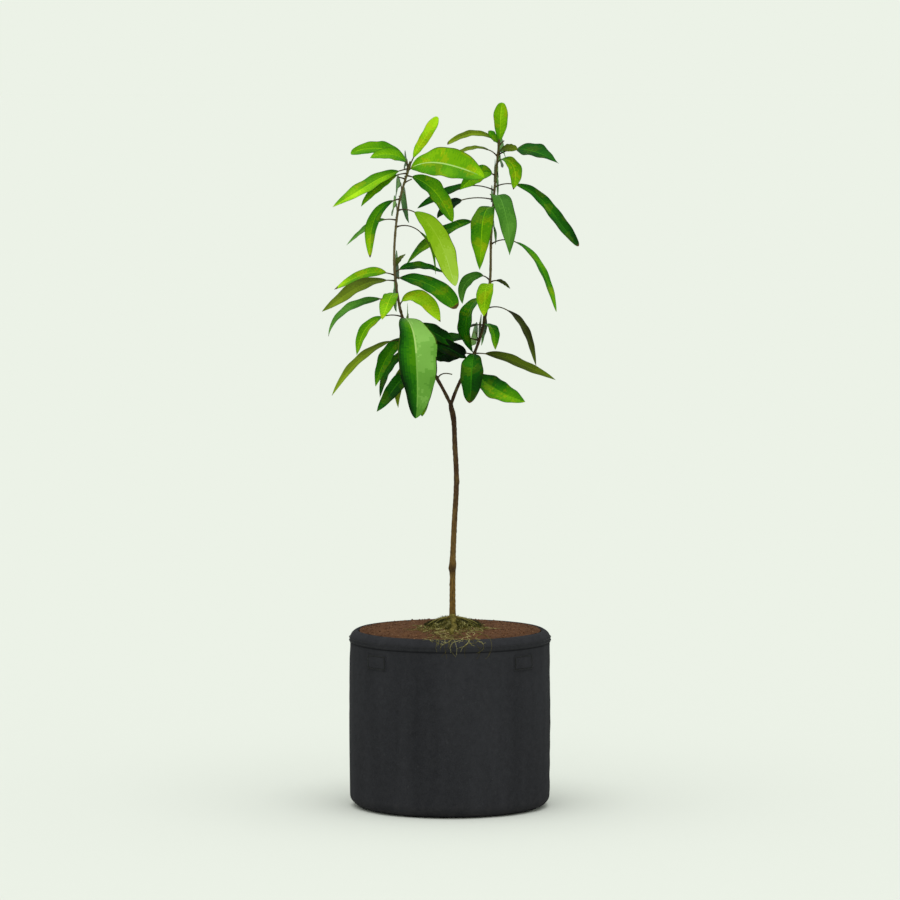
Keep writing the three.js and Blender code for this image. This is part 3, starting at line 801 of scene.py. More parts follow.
def grow_spares():
    """Each flush's spare leaves, found after all the leading leaves have their room."""
    taken = []
    for rows in BOUGH_LINES.values():
        taken += room_of_limb(rows)
    for flush in FLUSHES:
        for leaf in flush.leaves:
            if leaf.blade:
                taken += room_of(flush, leaf)
    for i, flush in enumerate(FLUSHES):
        draw = seeded(SPARE_SEED + SPARE_SEED_STEP * i)
        wanted = flush.spare
        for _ in range(SPARE_TRIES):
            if wanted == 0:
                break
            values = {name: draw(*limits) for name, limits in SPARE.items()}
            values["roll"] *= -1 if flush.side == "left" else 1
            leaf = Leaf(SPARE_TINTS[(i + wanted) % len(SPARE_TINTS)], **values)
            room = room_of(flush, leaf)
            if is_clear(room[SHARED_STEPS:], taken):
                taken += room
                flush.leaves.append(leaf)
                wanted -= 1


# ---------------------------------------- wood
TRUNK_SCARS = [  # direction, height, size and how proud
    (180, 424, 5, 1.5),
    (200, 409, 4, -0.7),
    (-70, 505, 3.5, 0.9),
    (20, 579, 4, 1.1),
    (170, 640, 3.5, 0.8),
]


def trunk_radius(z):
    """The trunk's radius at a height: a taper with a flare, the graft's swelling and the knot's."""
    share = np.clip((z - SOIL_TOP) / (FORK - SOIL_TOP), 0, 1)
    return (
        mix(TRUNK_BASE_RADIUS, TRUNK_TOP_RADIUS, share)
        + TRUNK_FLARE * np.exp(-(z - SOIL_TOP) / TRUNK_FLARE_HEIGHT)
        + GRAFT_SWELL * hump(z, GRAFT_HEIGHT, SWELL_LENGTH)
        + KNOT_SWELL * hump(z, KNOT_HEIGHT, SWELL_LENGTH)
        + BARK
    )


def stem_points(rows, low, high, spacing):
    """Evenly spaced heights, and the points of a middle line there."""
    heights = np.linspace(low, high, int((high - low) / spacing) + 1)
    return heights, np.array([climb(rows, z) for z in heights])


def roughen(piece, depth, length, seed):
    """Bark relief: long furrows and small knobs, moved along the surface's own normals."""
    points = points_of(piece)
    stretched = points * [1, 1, 0.14]
    furrows = -np.abs(ripples(stretched, length, seed)) + 0.5 * ripples(stretched, length * 0.45, seed + 1)
    knobs = ripples(points, length * 2.4, seed + 2)
    normals = read_vectors(piece.data.vertex_normals, "vector")
    move_points(piece, points + normals * (depth * (furrows + 0.6 * knobs))[:, None])


def trunk_piece(bark):
    """The trunk with its crotch and first lengths of both boughs, in one skin."""
    heap = Heap()
    heights, line = stem_points(TRUNK_LINE, SOIL_TOP - 3, FORK + 1, 2)
    heap.add(*tube(line, trunk_radius(heights), 24))
    for rows in BOUGH_LINES.values():
        heights, line = stem_points(rows, FORK - 16, FORK + STUB, 2)
        radii = np.interp(heights, [FORK - 16, FORK - 5], [0.4, BOUGH_FORK_RADIUS + BARK])
        heap.add(*tube(line, radii, 20))
    piece = heap.make("trunk")
    apply_modifier(piece, "REMESH", mode="VOXEL", voxel_size=0.6 * MM)
    apply_modifier(piece, "SMOOTH", factor=0.5, iterations=6)
    roughen(piece, 0.22, 2.6, 5)
    shape_scars(piece)
    finished(piece, [bark], 80, "bark", "trunk")


def shape_scars(piece):
    """The graft union's lip, and knots where side shoots were cut."""
    points = points_of(piece)
    low, high = TRUNK_LINE[0][0], TRUNK_LINE[-1][0]
    middles = np.array([climb(TRUNK_LINE, z) for z in range(low, high + 1)])
    outward = points - middles[np.clip(points[:, 2].astype(int), low, high) - low]
    outward[:, 2] = 0
    out, turn = round_from(outward)
    push = np.zeros(len(points))
    for direction, z, size, proud in TRUNK_SCARS:
        push += proud * hump(degrees_from(turn, direction), 0, 38) * hump(points[:, 2], z, size)
    away = outward / np.maximum(out, 0.5)[:, None]
    below_fork = points[:, 2] < FORK - 20
    move_points(piece, points + away * (push * below_fork)[:, None])


def bough_piece(side, bark):
    """One bough from inside the crotch to its tip, ringed by scars where each flush of leaves began."""
    rows = BOUGH_LINES[side]
    top = rows[-1][0]
    heights, line = stem_points(rows, FORK + 4, top, 1.3)
    radii = mix(BOUGH_FORK_RADIUS, BOUGH_TIP_RADIUS, np.clip((heights - FORK) / (top - FORK), 0, 1))
    radii = radii + BARK * np.clip((FORK + 160 - heights) / 120, 0, 1)
    flushes = [flush for flush in FLUSHES if flush.side == side]
    for z in [FORK + STUB] + [flush.low for flush in flushes] + [flush.high for flush in flushes]:
        radii = radii + 0.34 * hump(heights, z, 2.6) + 0.22 * hump(heights, z + 6, 1.5)
    for flush in flushes:
        for leaf in flush.leaves:
            radii = radii + 0.22 * hump(heights, mix(flush.low, flush.high, leaf.at), 3)
    heap = Heap()
    heap.add(*tube(line, radii, 20))
    piece = heap.make(f"{side}_bough")
    roughen(piece, 0.12, 2.0, 11)
    finished(piece, [bark], 80, "green_bark", f"{side}_lower_bough", f"{side}_upper_bough")


# ---------------------------------------- blades, stalks and buds
BLADE_RINGS = 84
# Places of a blade's columns from its rib to its edge, over half its width.
HALF_COLUMNS = np.array([0, 0.045, 0.13, 0.25, 0.39, 0.54, 0.69, 0.83, 0.945, 1.0])
BLADE_COLUMNS = np.concatenate([-HALF_COLUMNS[:0:-1], HALF_COLUMNS])
BLADE_THICKNESS = 0.55
LEAST_HALF_WIDTH = 0.35
FOLD = 0.22  # rise of the blade's edges over half its width
VEIN_PITCH = 6.2
SWING = 0.016  # how far a blade wavers sideways, over its length
RIPPLE = 0.08  # rise of the wavy edge over half the blade's width
TWIST = 9.0  # how far a blade may turn about its own line by its tip, in degrees
EDGEWISE = 70.0  # a blade rolled further than this hangs flat, without twist or waves
DRY_TIPS = 0.3  # share of the leaves that have one
RIB_END = 0.86  # share of the blade that the stalk's rib runs along
STALK_SIDES = 7
LEAF_SEED = 500
LEAF_SEED_STEP = 50  # more than the leaves of a flush


def blade(spine, seed):
    """A closed, thin blade with a fold, a wavy edge, a raised rib and side veins."""
    leaf = spine.leaf
    chance = np.random.default_rng(seed)
    t, v = np.meshgrid(np.linspace(0, 1, BLADE_RINGS + 1), BLADE_COLUMNS, indexing="ij")
    edge = np.abs(v)
    point, across, face = [np.array(column)[:, None] for column in zip(*map(spine.on_blade, t[:, 0]))]
    lively = abs(leaf.roll) <= EDGEWISE
    turn = math.radians(chance.uniform(-TWIST, TWIST)) * t[:, :1, None] * lively
    across, face = across * np.cos(turn) + face * np.sin(turn), face * np.cos(turn) - across * np.sin(turn)
    half = np.maximum(half_width(leaf, t) * uneven_edges(t, v, chance), LEAST_HALF_WIDTH)
    waves = wavy_edges(leaf, t, v, chance) * lively
    lift = FOLD * half * edge + waves + 0.35 * (1 - t) * hump(edge, 0, 0.05)
    vein = vein_ridge(leaf, t, edge, half)
    thick = BLADE_THICKNESS * (1 - 0.6 * edge**3) / 2
    swing = SWING * leaf.blade * np.sin(chance.uniform(5, 7) * t + chance.uniform(0, 6.28)) * t
    middle = point + across * (v * half + swing)[..., None]
    top = middle + face * (lift + thick + 0.16 * vein)[..., None]
    bottom = middle + face * (lift - thick + 0.05 * vein)[..., None]
    faces, cells, on_top = closed_sheet(*t.shape)
    upper, lower = blade_tints(leaf, t, v, vein, top, chance)
    points = np.concatenate([top.reshape(-1, 3), bottom.reshape(-1, 3)])
    return points, faces, np.where(on_top, upper[cells], lower[cells])


def side_waves(beat, t, v, starts):
    """Waves along a blade whose two sides start at different places."""
    return np.sin(beat * t + np.where(v < 0, *starts))


def uneven_edges(t, v, chance):
    """How much wider or narrower than its even outline each side of a blade is."""
    starts = chance.uniform(0, 6.28, 4)
    slow, quick = chance.uniform(6, 10), chance.uniform(15, 24)
    return 1.04 + 0.07 * side_waves(slow, t, v, starts[:2]) + 0.03 * side_waves(quick, t, v, starts[2:])


def wavy_edges(leaf, t, v, chance):
    """How far the margin rises and falls, most in the middle of the blade's length."""
    starts = chance.uniform(0, 6.28, 2)
    waves = side_waves(FULL_TURN * chance.uniform(2.6, 4.4), t, v, starts)
    return RIPPLE * leaf.blade * leaf.broad / 2 * v**2 * waves * np.sin(math.pi * np.clip(t * 1.15, 0, 1))


def vein_ridge(leaf, t, edge, half):
    """1 on the side veins, which leave the rib at a slant and curve forwards, and 0 between them."""
    along = t * leaf.blade - edge * half * (0.42 + 0.5 * edge)
    return hump((along / VEIN_PITCH) % 1, 0.5, 0.16) * np.clip((1 - edge) * 5, 0, 1)


def closed_sheet(rows, columns):
    """Faces of two sheets of points joined round their edges; for each its cell, and if it is the top."""
    faces, cells, tops = [], [], []
    under = rows * columns

    def add(face, i, j, top):
        faces.append(face)
        cells.append(min(i, rows - 2) * (columns - 1) + min(j, columns - 2))
        tops.append(top)

    for i in range(rows - 1):
        for j in range(columns - 1):
            a, b = i * columns + j, (i + 1) * columns + j
            add((a, a + 1, b + 1, b), i, j, True)
            add((b + under, b + 1 + under, a + 1 + under, a + under), i, j, False)
        for j in (0, columns - 1):
            a, b = i * columns + j, (i + 1) * columns + j
            add((a, b, b + under, a + under) if j == 0 else (b, a, a + under, b + under), i, j, True)
    for j in range(columns - 1):
        a, b = j, (rows - 1) * columns + j
        add((a + 1, a, a + under, a + 1 + under), 0, j, True)
        add((b, b + 1, b + 1 + under, b + under), rows - 1, j, True)
    return faces, np.array(cells), np.array(tops)


def tint_number(row, share):
    """The numbers of the finishes at these shares of a row of tints."""
    last = len(LEAF_ROWS[row]) - 1
    return ROW_STARTS[row] + np.clip(np.rint(share * last), 0, last).astype(int)


def centres(grid):
    """The mean of each cell's four corners."""
    return (grid[:-1, :-1] + grid[1:, :-1] + grid[:-1, 1:] + grid[1:, 1:]) / 4


def blade_tints(leaf, t, v, vein, top, chance):
    """The tint of each cell of a blade: upper face and underside."""
    t, v, vein = centres(t), centres(v), centres(vein)
    edge = np.abs(v)
    middles = centres(top).reshape(-1, 3)
    cloud = ripples(middles, 52, int(chance.integers(1e6))).reshape(t.shape)
    streak = np.sin(26 * edge + 5 * t + chance.uniform(0, 6)) * (1 - edge)
    shade = 0.07 * cloud + 0.016 * streak + chance.uniform(-0.02, 0.02, t.shape)
    # one half of each blade a little darker than the other is painted shade, as if turned from the light;
    # the blade also darkens towards its edges
    shade = shade + chance.uniform(-0.07, 0.07) * np.sign(v) - 0.1 * edge**3
    shade = shade + 0.06 * vein - 0.02 * (1 - vein) - 0.1 * hump(t, 0, 0.12)
    row, foot, tip = TINTS[leaf.tint]
    even = mix(foot, tip, t)
    upper = tint_number(row, even + shade)
    lower = tint_number(row, 0.8 * even + 0.1 + shade)
    if row == "green":
        flecks = ripples(middles, 30, int(chance.integers(1e6))) + 0.4 * ripples(middles, 9, 7)
        upper = np.where(flecks.reshape(t.shape) > 0.5, tint_number("warm", even + shade), upper)
    # painted light: one half takes a pale row as a painted sheen; the other half has painted shade,
    # darkening towards its edge
    if leaf.tint in OTHER_HALF:
        other_row, other_foot, other_tip = OTHER_HALF[leaf.tint]
        own = tint_number(row, even + shade + 0.02 - 0.36 * v**2)
        upper = np.where(v < 0, tint_number(other_row, mix(other_foot, other_tip, t) + shade), own)
    worn = (edge > 0.95) & (cloud > -0.6)
    upper = np.where(worn, tint_number("margin", even + 0.1), upper)
    if leaf.tint in PALE_RIBS:
        rib = tint_number("rib", 1.1 * foot - 0.5 * t)
    else:
        rib = tint_number(row, even + 0.16)
    on_rib = (edge < PALE_RIBS.get(leaf.tint, RIB_WIDTH)) & (t < 0.9)
    upper = np.where(on_rib, rib, upper)
    if chance.uniform() < DRY_TIPS:
        dry = t + 0.012 * cloud > chance.uniform(0.95, 0.985)
        upper, lower = [np.where(dry, tint_number("dry", 0.5), tints) for tints in (upper, lower)]
    return upper.ravel(), lower.ravel()


def stalk(spine):
    """A leaf's stalk, swollen at its foot, which runs on as the rib under the blade."""
    leaf = spine.leaf
    shares = np.linspace(0, leaf.stalk / spine.length, 9)
    if leaf.blade:
        rib_end = (leaf.stalk + RIB_END * leaf.blade) / spine.length
        shares = np.concatenate([shares, np.linspace(leaf.stalk / spine.length, rib_end, 22)[1:]])
    line, radii, tints = [], [], []
    for u in shares:
        point, _, face = spine.at(u)
        along = u * spine.length
        on_blade = spine.share_of_blade(u)
        radius = (0.95 + 1.15 * math.exp(-along / 4.5)) * (1 - on_blade) ** 0.9 + 0.12
        sunk = min(on_blade * 12, 1) * (radius * 0.8)
        line.append(point - face * sunk)
        radii.append(radius)
        tints.append(min(int(along / max(leaf.stalk, 1) * 2.4), len(STALK_SHADES) - 1))
    points, faces = tube(np.array(line), radii, STALK_SIDES)
    return points, faces, [*np.repeat(tints[:-1], STALK_SIDES), tints[0], tints[-1]]


def bud(root, forward, length, radius, tint):
    """A pointed bud of overlapping scales."""
    t = np.linspace(0, 1, 9)
    scales = 1 + 0.12 * np.abs(np.sin(t * 9.5))
    radii = radius * np.sin(math.pi * np.clip(t * 0.78 + 0.2, 0, 1)) ** 0.8 * scales
    return *tube(root + np.outer(t * length, forward), np.maximum(radii, 0.1), STALK_SIDES), tint


def flush_pieces(flush, leaf_finishes, stalk_finishes, seed):
    """The leaves of one flush as a piece, and their stalks and buds as another."""
    blades, stalks = Heap(), Heap()
    for i, leaf in enumerate(flush.leaves):
        spine = Spine(flush, leaf)
        stalks.add(*stalk(spine))
        if leaf.blade:
            blades.add(*blade(spine, seed + i))
        stalks.add(*bud(spine.root + UP * 2.5, unit(spine.forward(0) + UP * 1.4), 4.2, 1.0, 1))
    top = BOUGH_LINES[flush.side][-1][0]
    if flush.high == top:
        tip = climb(BOUGH_LINES[flush.side], top)
        stalks.add(*bud(tip - UP * 1.5, np.array([0.05, 0, 1.0]), 9, 2.0, 2))
    node = f"{flush.name}_foliage"
    finished(blades.make(f"{flush.name}_leaves"), leaf_finishes, 75, flush.slot, node)
    finished(stalks.make(f"{flush.name}_stalks"), stalk_finishes, 80, "green_bark", node)


# ---------------------------------------- grow bag
FOLDS = [(5, 0.5, 3.4), (9, 0.45, 4.2), (14, 0.4, 1.8), (23, 0.2, 4.6)]  # count round the bag, depth, turn
DEEPEST_DENT = 2.4
HIGHEST_BULGE = 2.0
HEM_SEAMS = [3.2, 8.4]  # heights of the two rows of stitches over the hem's foot
HEM_PITCH = 4.4
PATCH_CORNER = 3.0
PATCH_SEAM = 2.6  # from the patch's edge to its stitches
# how wide the band of painted shade along a patch's stitches is
PATCH_SEAM_SHADE_WIDTH = 1.9
PATCH_PITCH = 3.1


def arc(x, y, radius, start, end, steps):
    """Points of a round from angle start to end, in degrees."""
    turns = np.radians(np.linspace(start, end, steps + 1))
    return [(x + radius * math.cos(a), y + radius * math.sin(a)) for a in turns]


def wall_radius(z):
    """The bag's radius at a height, a little wider half way up."""
    share = np.clip((z - FOOT_RADIUS) / (BAG_HEIGHT - FOOT_RADIUS - SHOULDER_RADIUS), 0, 1)
    return EDGE_RADIUS + BELLY * np.sin(np.pi * share)


def bag_piece(felt):
    """The bag: one shell from the middle of its underside over the mouth to the middle of its floor."""
    shoulder_foot = BAG_HEIGHT - SHOULDER_RADIUS
    hem_edge = wall_radius(HEM_FOOT) + HEM_STEP
    profile = [(r, 0.0) for r in (2, 60, 120, 145)]
    profile += arc(EDGE_RADIUS - FOOT_RADIUS, FOOT_RADIUS, FOOT_RADIUS, -90, 0, 14)
    profile += [(wall_radius(z), z) for z in np.linspace(FOOT_RADIUS, HEM_FOOT - 1.2, 62)[1:]]
    profile += [(hem_edge - 0.8, HEM_FOOT - 0.5), (hem_edge, HEM_FOOT + 0.4), (hem_edge, HEM_FOOT + 2.2)]
    profile += arc(EDGE_RADIUS + HEM_STEP - SHOULDER_RADIUS, shoulder_foot, SHOULDER_RADIUS, 0, 75, 12)
    profile += arc(EDGE_RADIUS - SHOULDER_RADIUS, shoulder_foot, LIP_RADIUS, LIP_TURN, 0, 8)
    profile += arc(EDGE_RADIUS - FOOT_RADIUS, FOOT_RADIUS, FOOT_RADIUS - BAG_WALL, 0, -90, 6)
    profile += [(r, BAG_WALL) for r in (120, 60, 2)]
    piece = raised("grow_bag", profile, 288)
    points = points_of(piece)
    move_points(piece, points + bag_folds(points))
    finished(piece, [felt], 50, "felt", "grow_bag")


def bag_folds(points):
    """How far the wall stands in or out: upright folds, dents, and short creases above the foot."""
    out, turn = round_from(points)
    z = points[:, 2]
    on_wall = np.clip((out - 140) / 25, 0, 1) * np.clip(z / 14, 0, 1)
    below_hem = 1 / (1 + np.exp((z - HEM_FOOT + 12) / 6))
    folds = sum(depth * np.sin(count * turn + start) for count, depth, start in FOLDS)
    dents = 0.55 * ripples(points, 120, 3) + 0.22 * ripples(points, 34, 4)
    creases = 0.3 * np.sin(41 * turn + 2 * np.sin(3 * turn)) * hump(z, 26, 16)
    hem_pull = 0.22 * np.sin(66 * turn) * hump(z, HEM_FOOT + 1, 8)
    push = 0.6 + folds * (0.35 + 0.65 * below_hem) + dents + creases + hem_pull
    return polar(1, turn) * (np.clip(push, -DEEPEST_DENT, HIGHEST_BULGE) * on_wall)[:, None]


def wall_point(turn, z, proud):
    """A point on the folded bag's outer face, this far proud of it."""
    radius = wall_radius(z) + (HEM_STEP if z > HEM_FOOT else 0)
    point = polar(radius, turn) + UP * z
    return point + bag_folds(point[None])[0] + polar(1, turn) * proud


def stitch(start, end, thickness):
    """One stitch: a short bowed thread that dips into the felt at both ends."""
    t = np.linspace(0, 1, 5)
    outward = unit((start + end) / 2 * [1, 1, 0])
    line = mix(start, end, t[:, None]) + outward * (thickness * 0.9 * np.sin(math.pi * t))[:, None]
    return tube(line, thickness * np.array([0.55, 1, 1, 1, 0.55]) / 2, 6)


def seam(heap, path, pitch, thickness):
    """Stitches along a path of points, with a small space between each two."""
    run = np.concatenate([[0], np.cumsum(np.linalg.norm(np.diff(path, axis=0), axis=1))])
    count = int(run[-1] / pitch)
    length = run[-1] / count
    for i in range(count):
        start, end = [
            np.array([np.interp((i + share) * length, run, path[:, k]) for k in range(3)])
            for share in (0.1, 0.84)
        ]
        heap.add(*stitch(start, end, thickness))


def hem_stitching(thread):
    """Two rows of stitches round the hem."""
    heap = Heap()
    for above in HEM_SEAMS:
        path = [wall_point(turn, HEM_FOOT + above, 0.05) for turn in np.linspace(0, FULL_TURN, 721)]
        seam(heap, np.array(path), HEM_PITCH, 0.9)
    finished(heap.make("hem_stitching"), [thread], 70, "felt")


def patch_point(turn, x, z, proud):
    """A point on a patch, by its place across and up from the patch's middle."""
    angle = math.radians(turn) + x / wall_radius(PATCH_MIDDLE)
    return wall_point(angle, PATCH_MIDDLE + z, proud)


def patch_piece(name, turn, felt, thread):
    """A felt patch with rounded corners, pressed down along its stitches, with painted shade in that groove:
    the faces there take the thread's black.
    """
    bpy.ops.object.select_all(action="DESELECT")
    bpy.ops.mesh.primitive_grid_add(x_subdivisions=48, y_subdivisions=30, size=1)
    piece = bpy.context.active_object
    piece.name = name
    select_whole_mesh()
    bpy.ops.mesh.extrude_region_move(TRANSFORM_OT_translate={"value": (0, 0, 1)})
    face_outwards()
    block = points_of(piece) * MM
    spot = block[:, :2] * PATCH_SIZE
    over = np.maximum(np.abs(spot) - (PATCH_SIZE / 2 - PATCH_CORNER), 0)
    reach = np.maximum(np.hypot(*over.T), 1e-6)
    ease = np.where(reach > 0.01, over.max(axis=1) / reach, 1)[:, None]
    spot = np.sign(spot) * (np.abs(spot) - over * (1 - ease))
    inset = (PATCH_SIZE / 2 - np.abs(spot)).min(axis=1)
    pressed = 0.9 * hump(inset, PATCH_SEAM, 1.5)
    rounded = 0.7 * np.exp(-inset / 0.7)
    puff = 0.4 * np.clip(inset / 10, 0, 1)
    proud = np.where(block[:, 2] > 0.5, PATCH_THICKNESS - pressed - rounded + puff, -0.6)
    move_points(piece, np.array([patch_point(turn, x, z, p) for (x, z), p in zip(spot, proud)]))
    # painted shade: faces along the pressed groove of the stitches take the black thread's finish
    for face in piece.data.polygons:
        off_seam = abs(np.mean(inset[list(face.vertices)]) - PATCH_SEAM)
        face.material_index = int(off_seam < PATCH_SEAM_SHADE_WIDTH / 2)
    finished(piece, [felt, thread], 60, "felt", name)


def patch_stitching(name, turn, thread):
    """A rectangle of stitches just inside a patch's edge."""
    corners = (PATCH_SIZE / 2 - PATCH_SEAM) * [(-1, -1), (1, -1), (1, 1), (-1, 1), (-1, -1)]
    heap = Heap()
    for start, end in zip(corners, corners[1:]):
        spots = [mix(start, end, share) for share in np.linspace(0, 1, 25)]
        path = [patch_point(turn, x, z, PATCH_THICKNESS - 0.5) for x, z in spots]
        seam(heap, np.array(path), PATCH_PITCH, 1.2)
    finished(heap.make(name), [thread], 70, "felt")


# ---------------------------------------- soil and moss
CRUMBS = 2300
CRUMB_SEED = 31
MOSS_SHOOTS = 7600
MOSS_SEED = 61
HOLLOWS = {184: 38, -6: 30}  # hollows under the arched roots, where the moss shoots carry painted shade: direction, and how wide they are, in degrees


def soil_surface(points):
    """Puts points on the lumpy soil at their x and y: level in the middle, lower at the rim."""
    out, _ = round_from(points)
    share = np.clip((out - SOIL_PLATEAU) / (SOIL_RADIUS - SOIL_PLATEAU), 0, 1)
    flat = points * [1, 1, 0]
    lumps = 0.9 * ripples(flat, 46, 21) + 0.55 * ripples(flat, 17, 22) + 0.35 * ripples(flat, 6.5, 23)
    flat[:, 2] = SOIL_TOP - SOIL_DOME * share**1.4 + lumps - 0.8
    return flat


def soil_piece(earth):
    """The soil that fills the bag's mouth, closed below, with a lumpy top."""
    profile = [(r, BAG_HEIGHT - 42) for r in (3, 90, SOIL_RADIUS)]
    profile += [(r, SOIL_TOP) for r in np.linspace(SOIL_RADIUS, 3, 84)]
    piece = raised("soil", profile, 300)
    points = points_of(piece)
    upper = points[:, 2] > SOIL_TOP - 1
    points[upper] = soil_surface(points[upper])
    move_points(piece, points)
    finished(piece, [earth], 60, "soil", "soil")


def ball():
    """The corners and outward faces of a ball with twelve corners and twenty triangles."""
    golden = (1 + math.sqrt(5)) / 2
    corners = np.array([np.roll((s, t * golden, 0), k) for k in range(3) for s in (-1, 1) for t in (-1, 1)])
    faces = []
    for i, j, k in combinations(range(12), 3):
        a, b, c = corners[i], corners[j], corners[k]
        if max(np.linalg.norm(a - b), np.linalg.norm(b - c), np.linalg.norm(a - c)) < 2.1:
            outwards = np.cross(b - a, c - a).dot(a + b + c) > 0
            faces.append((i, j, k) if outwards else (i, k, j))
    return corners, faces


def crumbs_piece(finishes):
    """Angular crumbs and bark chips on the soil, fewer towards the middle: squashed, jittered balls."""
    chance = np.random.default_rng(CRUMB_SEED)
    heap = Heap()
    corners, faces = ball()
    for _ in range(CRUMBS):
        out = SOIL_RADIUS * math.sqrt(chance.uniform(0.02, 0.97))
        turn = chance.uniform(0, FULL_TURN)
        size = 1.1 + 2.8 * chance.uniform() ** 3
        middle = soil_surface(polar(out, turn)[None])[0] + UP * 0.2 * size
        points = unit(corners) * chance.uniform(0.7, 1.15, (12, 1))
        points *= chance.uniform(0.6, 1.1, 3) * size / 2
        heap.add(points + middle, faces, int(chance.integers(len(finishes))))
    finished(heap.make("soil_crumbs"), finishes, 30, "soil")


def mat_reach(turn):
    """The mossy mat's radius in each direction."""
    return MAT_RADIUS + 3 * np.sin(3 * turn + 1.1) + 2.4 * np.sin(4 * turn + 4.0) + 2 * np.sin(7 * turn)


def mat_hollow(points):
    """1 in the middle of a hollow in the mat, and 0 away from it."""
    out, turn = round_from(points, MAT_MIDDLE)
    deep = np.zeros(len(points))
    for direction, wide in HOLLOWS.items():
        deep += hump(degrees_from(turn, direction), 0, wide) * hump(out / MAT_RADIUS, 0.56, 0.3)
    return np.clip(deep, 0, 1)


def mat_surface(points):
    """Puts points on the mat, or on the soil beyond its edge."""
    out, turn = round_from(points, MAT_MIDDLE)
    share = out / mat_reach(turn)
    rise = MAT_HEIGHT * np.clip(1 - share**2.2, 0, 1) ** 0.8 * (1 - 0.8 * mat_hollow(points))
    flat = points * [1, 1, 0]
    lumps = 1.0 * ripples(flat, 15, 51) + 0.5 * ripples(flat, 6, 52)
    lifted = soil_surface(points)
    lifted[:, 2] += rise * 0.93 + np.clip(rise / 4, 0, 1) * lumps
    return lifted


def mat_piece(moss):
    """The mound of moss and fine roots round the trunk's foot."""
    profile = [(2, SOIL_TOP - 6), (MAT_RADIUS, SOIL_TOP - 6)]
    profile += [(r, SOIL_TOP) for r in np.linspace(MAT_RADIUS, 2, 46)]
    piece = raised("root_mat", profile, 160)
    points = points_of(piece)
    upper = points[:, 2] > SOIL_TOP - 3
    _, turn = round_from(points)
    points[:, :2] *= (mat_reach(turn) / MAT_RADIUS)[:, None]
    points[:, :2] += MAT_MIDDLE[:2]
    points[upper] = mat_surface(points[upper])
    move_points(piece, points)
    finished(piece, [moss], 60, "moss", "root_mat")


def tufts_piece(finishes):
    """Short moss shoots all over the mat, thinner over the soil in front of it, with painted shade that
    makes them darkest in the hollows under the arched roots.
    """
    chance = np.random.default_rng(MOSS_SEED)
    heap = Heap()
    t = np.array([0, 0.45, 1.0])
    for _ in range(MOSS_SHOOTS):
        turn = chance.uniform(0, FULL_TURN)
        forwards = max(0.0, -math.sin(turn)) ** 2
        share = math.sqrt(chance.uniform(0.015, 1.0)) * (1 + 1.2 * forwards)
        out = share * mat_reach(turn)
        if out < TRUNK_BASE_RADIUS + 3 or chance.uniform() > math.exp(2.2 * (1 - max(share, 1))):
            continue
        spot = polar(out, turn, MAT_MIDDLE)[None]
        lean = polar(share, turn) * 0.7 + chance.normal(0, 0.45, 3)
        length = chance.uniform(2.2, 6.5) * (1.15 - 0.5 * min(share, 1))
        way = unit(np.array([lean[0], lean[1], 1.0]))
        foot = mat_surface(spot)[0] - UP * 0.8
        line = foot + np.outer(t * length, way) + np.outer(t**2 * length * 0.3, lean)
        # paler towards the front; darker in the hollows, which is painted shade under the arched roots
        pale = 3.2 - 1.5 * math.sin(turn) * share - 4.4 * mat_hollow(spot)[0]
        tint = int(np.clip(chance.normal(pale, 1.2), 0, len(finishes) - 1))
        heap.add(*tube(line, [0.5, 0.42, 0.1], 3), tint)
    finished(heap.make("moss_tufts"), finishes, 50, "moss")


# ---------------------------------------- roots on the soil
ROOT_STEPS = 22
SURFACE_ROOTS = 34
TANGLED_ROOTS = 110
DRAPED_ROOTS = 20
FLARE_ROOTS = 7
SURFACE_SEED = 83
TRAILING_SEED = 59
FOOT_SEED = 97
# Roots that arch over the mat's hollows: direction in degrees, reach and thickness.
ARCHED_ROOTS = [(174, 47, 1.5), (202, 40, 0.9), (148, 42, 1.1), (4, 50, 1.5), (-24, 54, 0.9), (34, 42, 1.1)]
FORWARDS = -math.pi / 2


def wander(draw, start, heading, length, wildness):
    """Points of a rootlet on level ground that strays to both sides of its heading."""
    t = np.linspace(0, 1, ROOT_STEPS)
    turns = [draw(0.3, 1.0) * wildness for _ in range(2)]
    waves = [draw(2, 6), draw(9, 17)]
    phases = [draw(0, 6.28) for _ in range(2)]
    bend = sum(a * np.sin(k * t + p) for a, k, p in zip(turns, waves, phases))
    return start + np.cumsum(polar(1, heading + bend), axis=0) * length / ROOT_STEPS


def rootlets(heap, draw, line, thick, tints):
    """A thin root along a line, and the side rootlets that leave it."""
    t = np.linspace(0, 1, ROOT_STEPS)
    hop = draw(0.4, 2.4) * np.clip(np.sin(draw(6, 12) * t), 0, 1) * np.sin(math.pi * t)
    root = tube(over_rim(line, thick * 0.4 + hop), thick * (1.0 - 0.65 * t), 5)
    heap.add(*root, int(draw(0, tints - 0.01)))
    for _ in range(3):
        fork = int(draw(0.3, 0.9) * ROOT_STEPS)
        ahead = line[fork] - line[fork - 1]
        heading = math.atan2(ahead[1], ahead[0]) + draw(0.5, 1.2) * (1 if draw() < 0.5 else -1)
        twig = wander(draw, line[fork], heading, draw(7, 20), 1.1)
        side_root = tube(over_rim(twig, 0.3 + 0 * t), thick * 0.6 * (1.0 - 0.6 * t), 3)
        heap.add(*side_root, int(draw(0, tints - 0.01)))


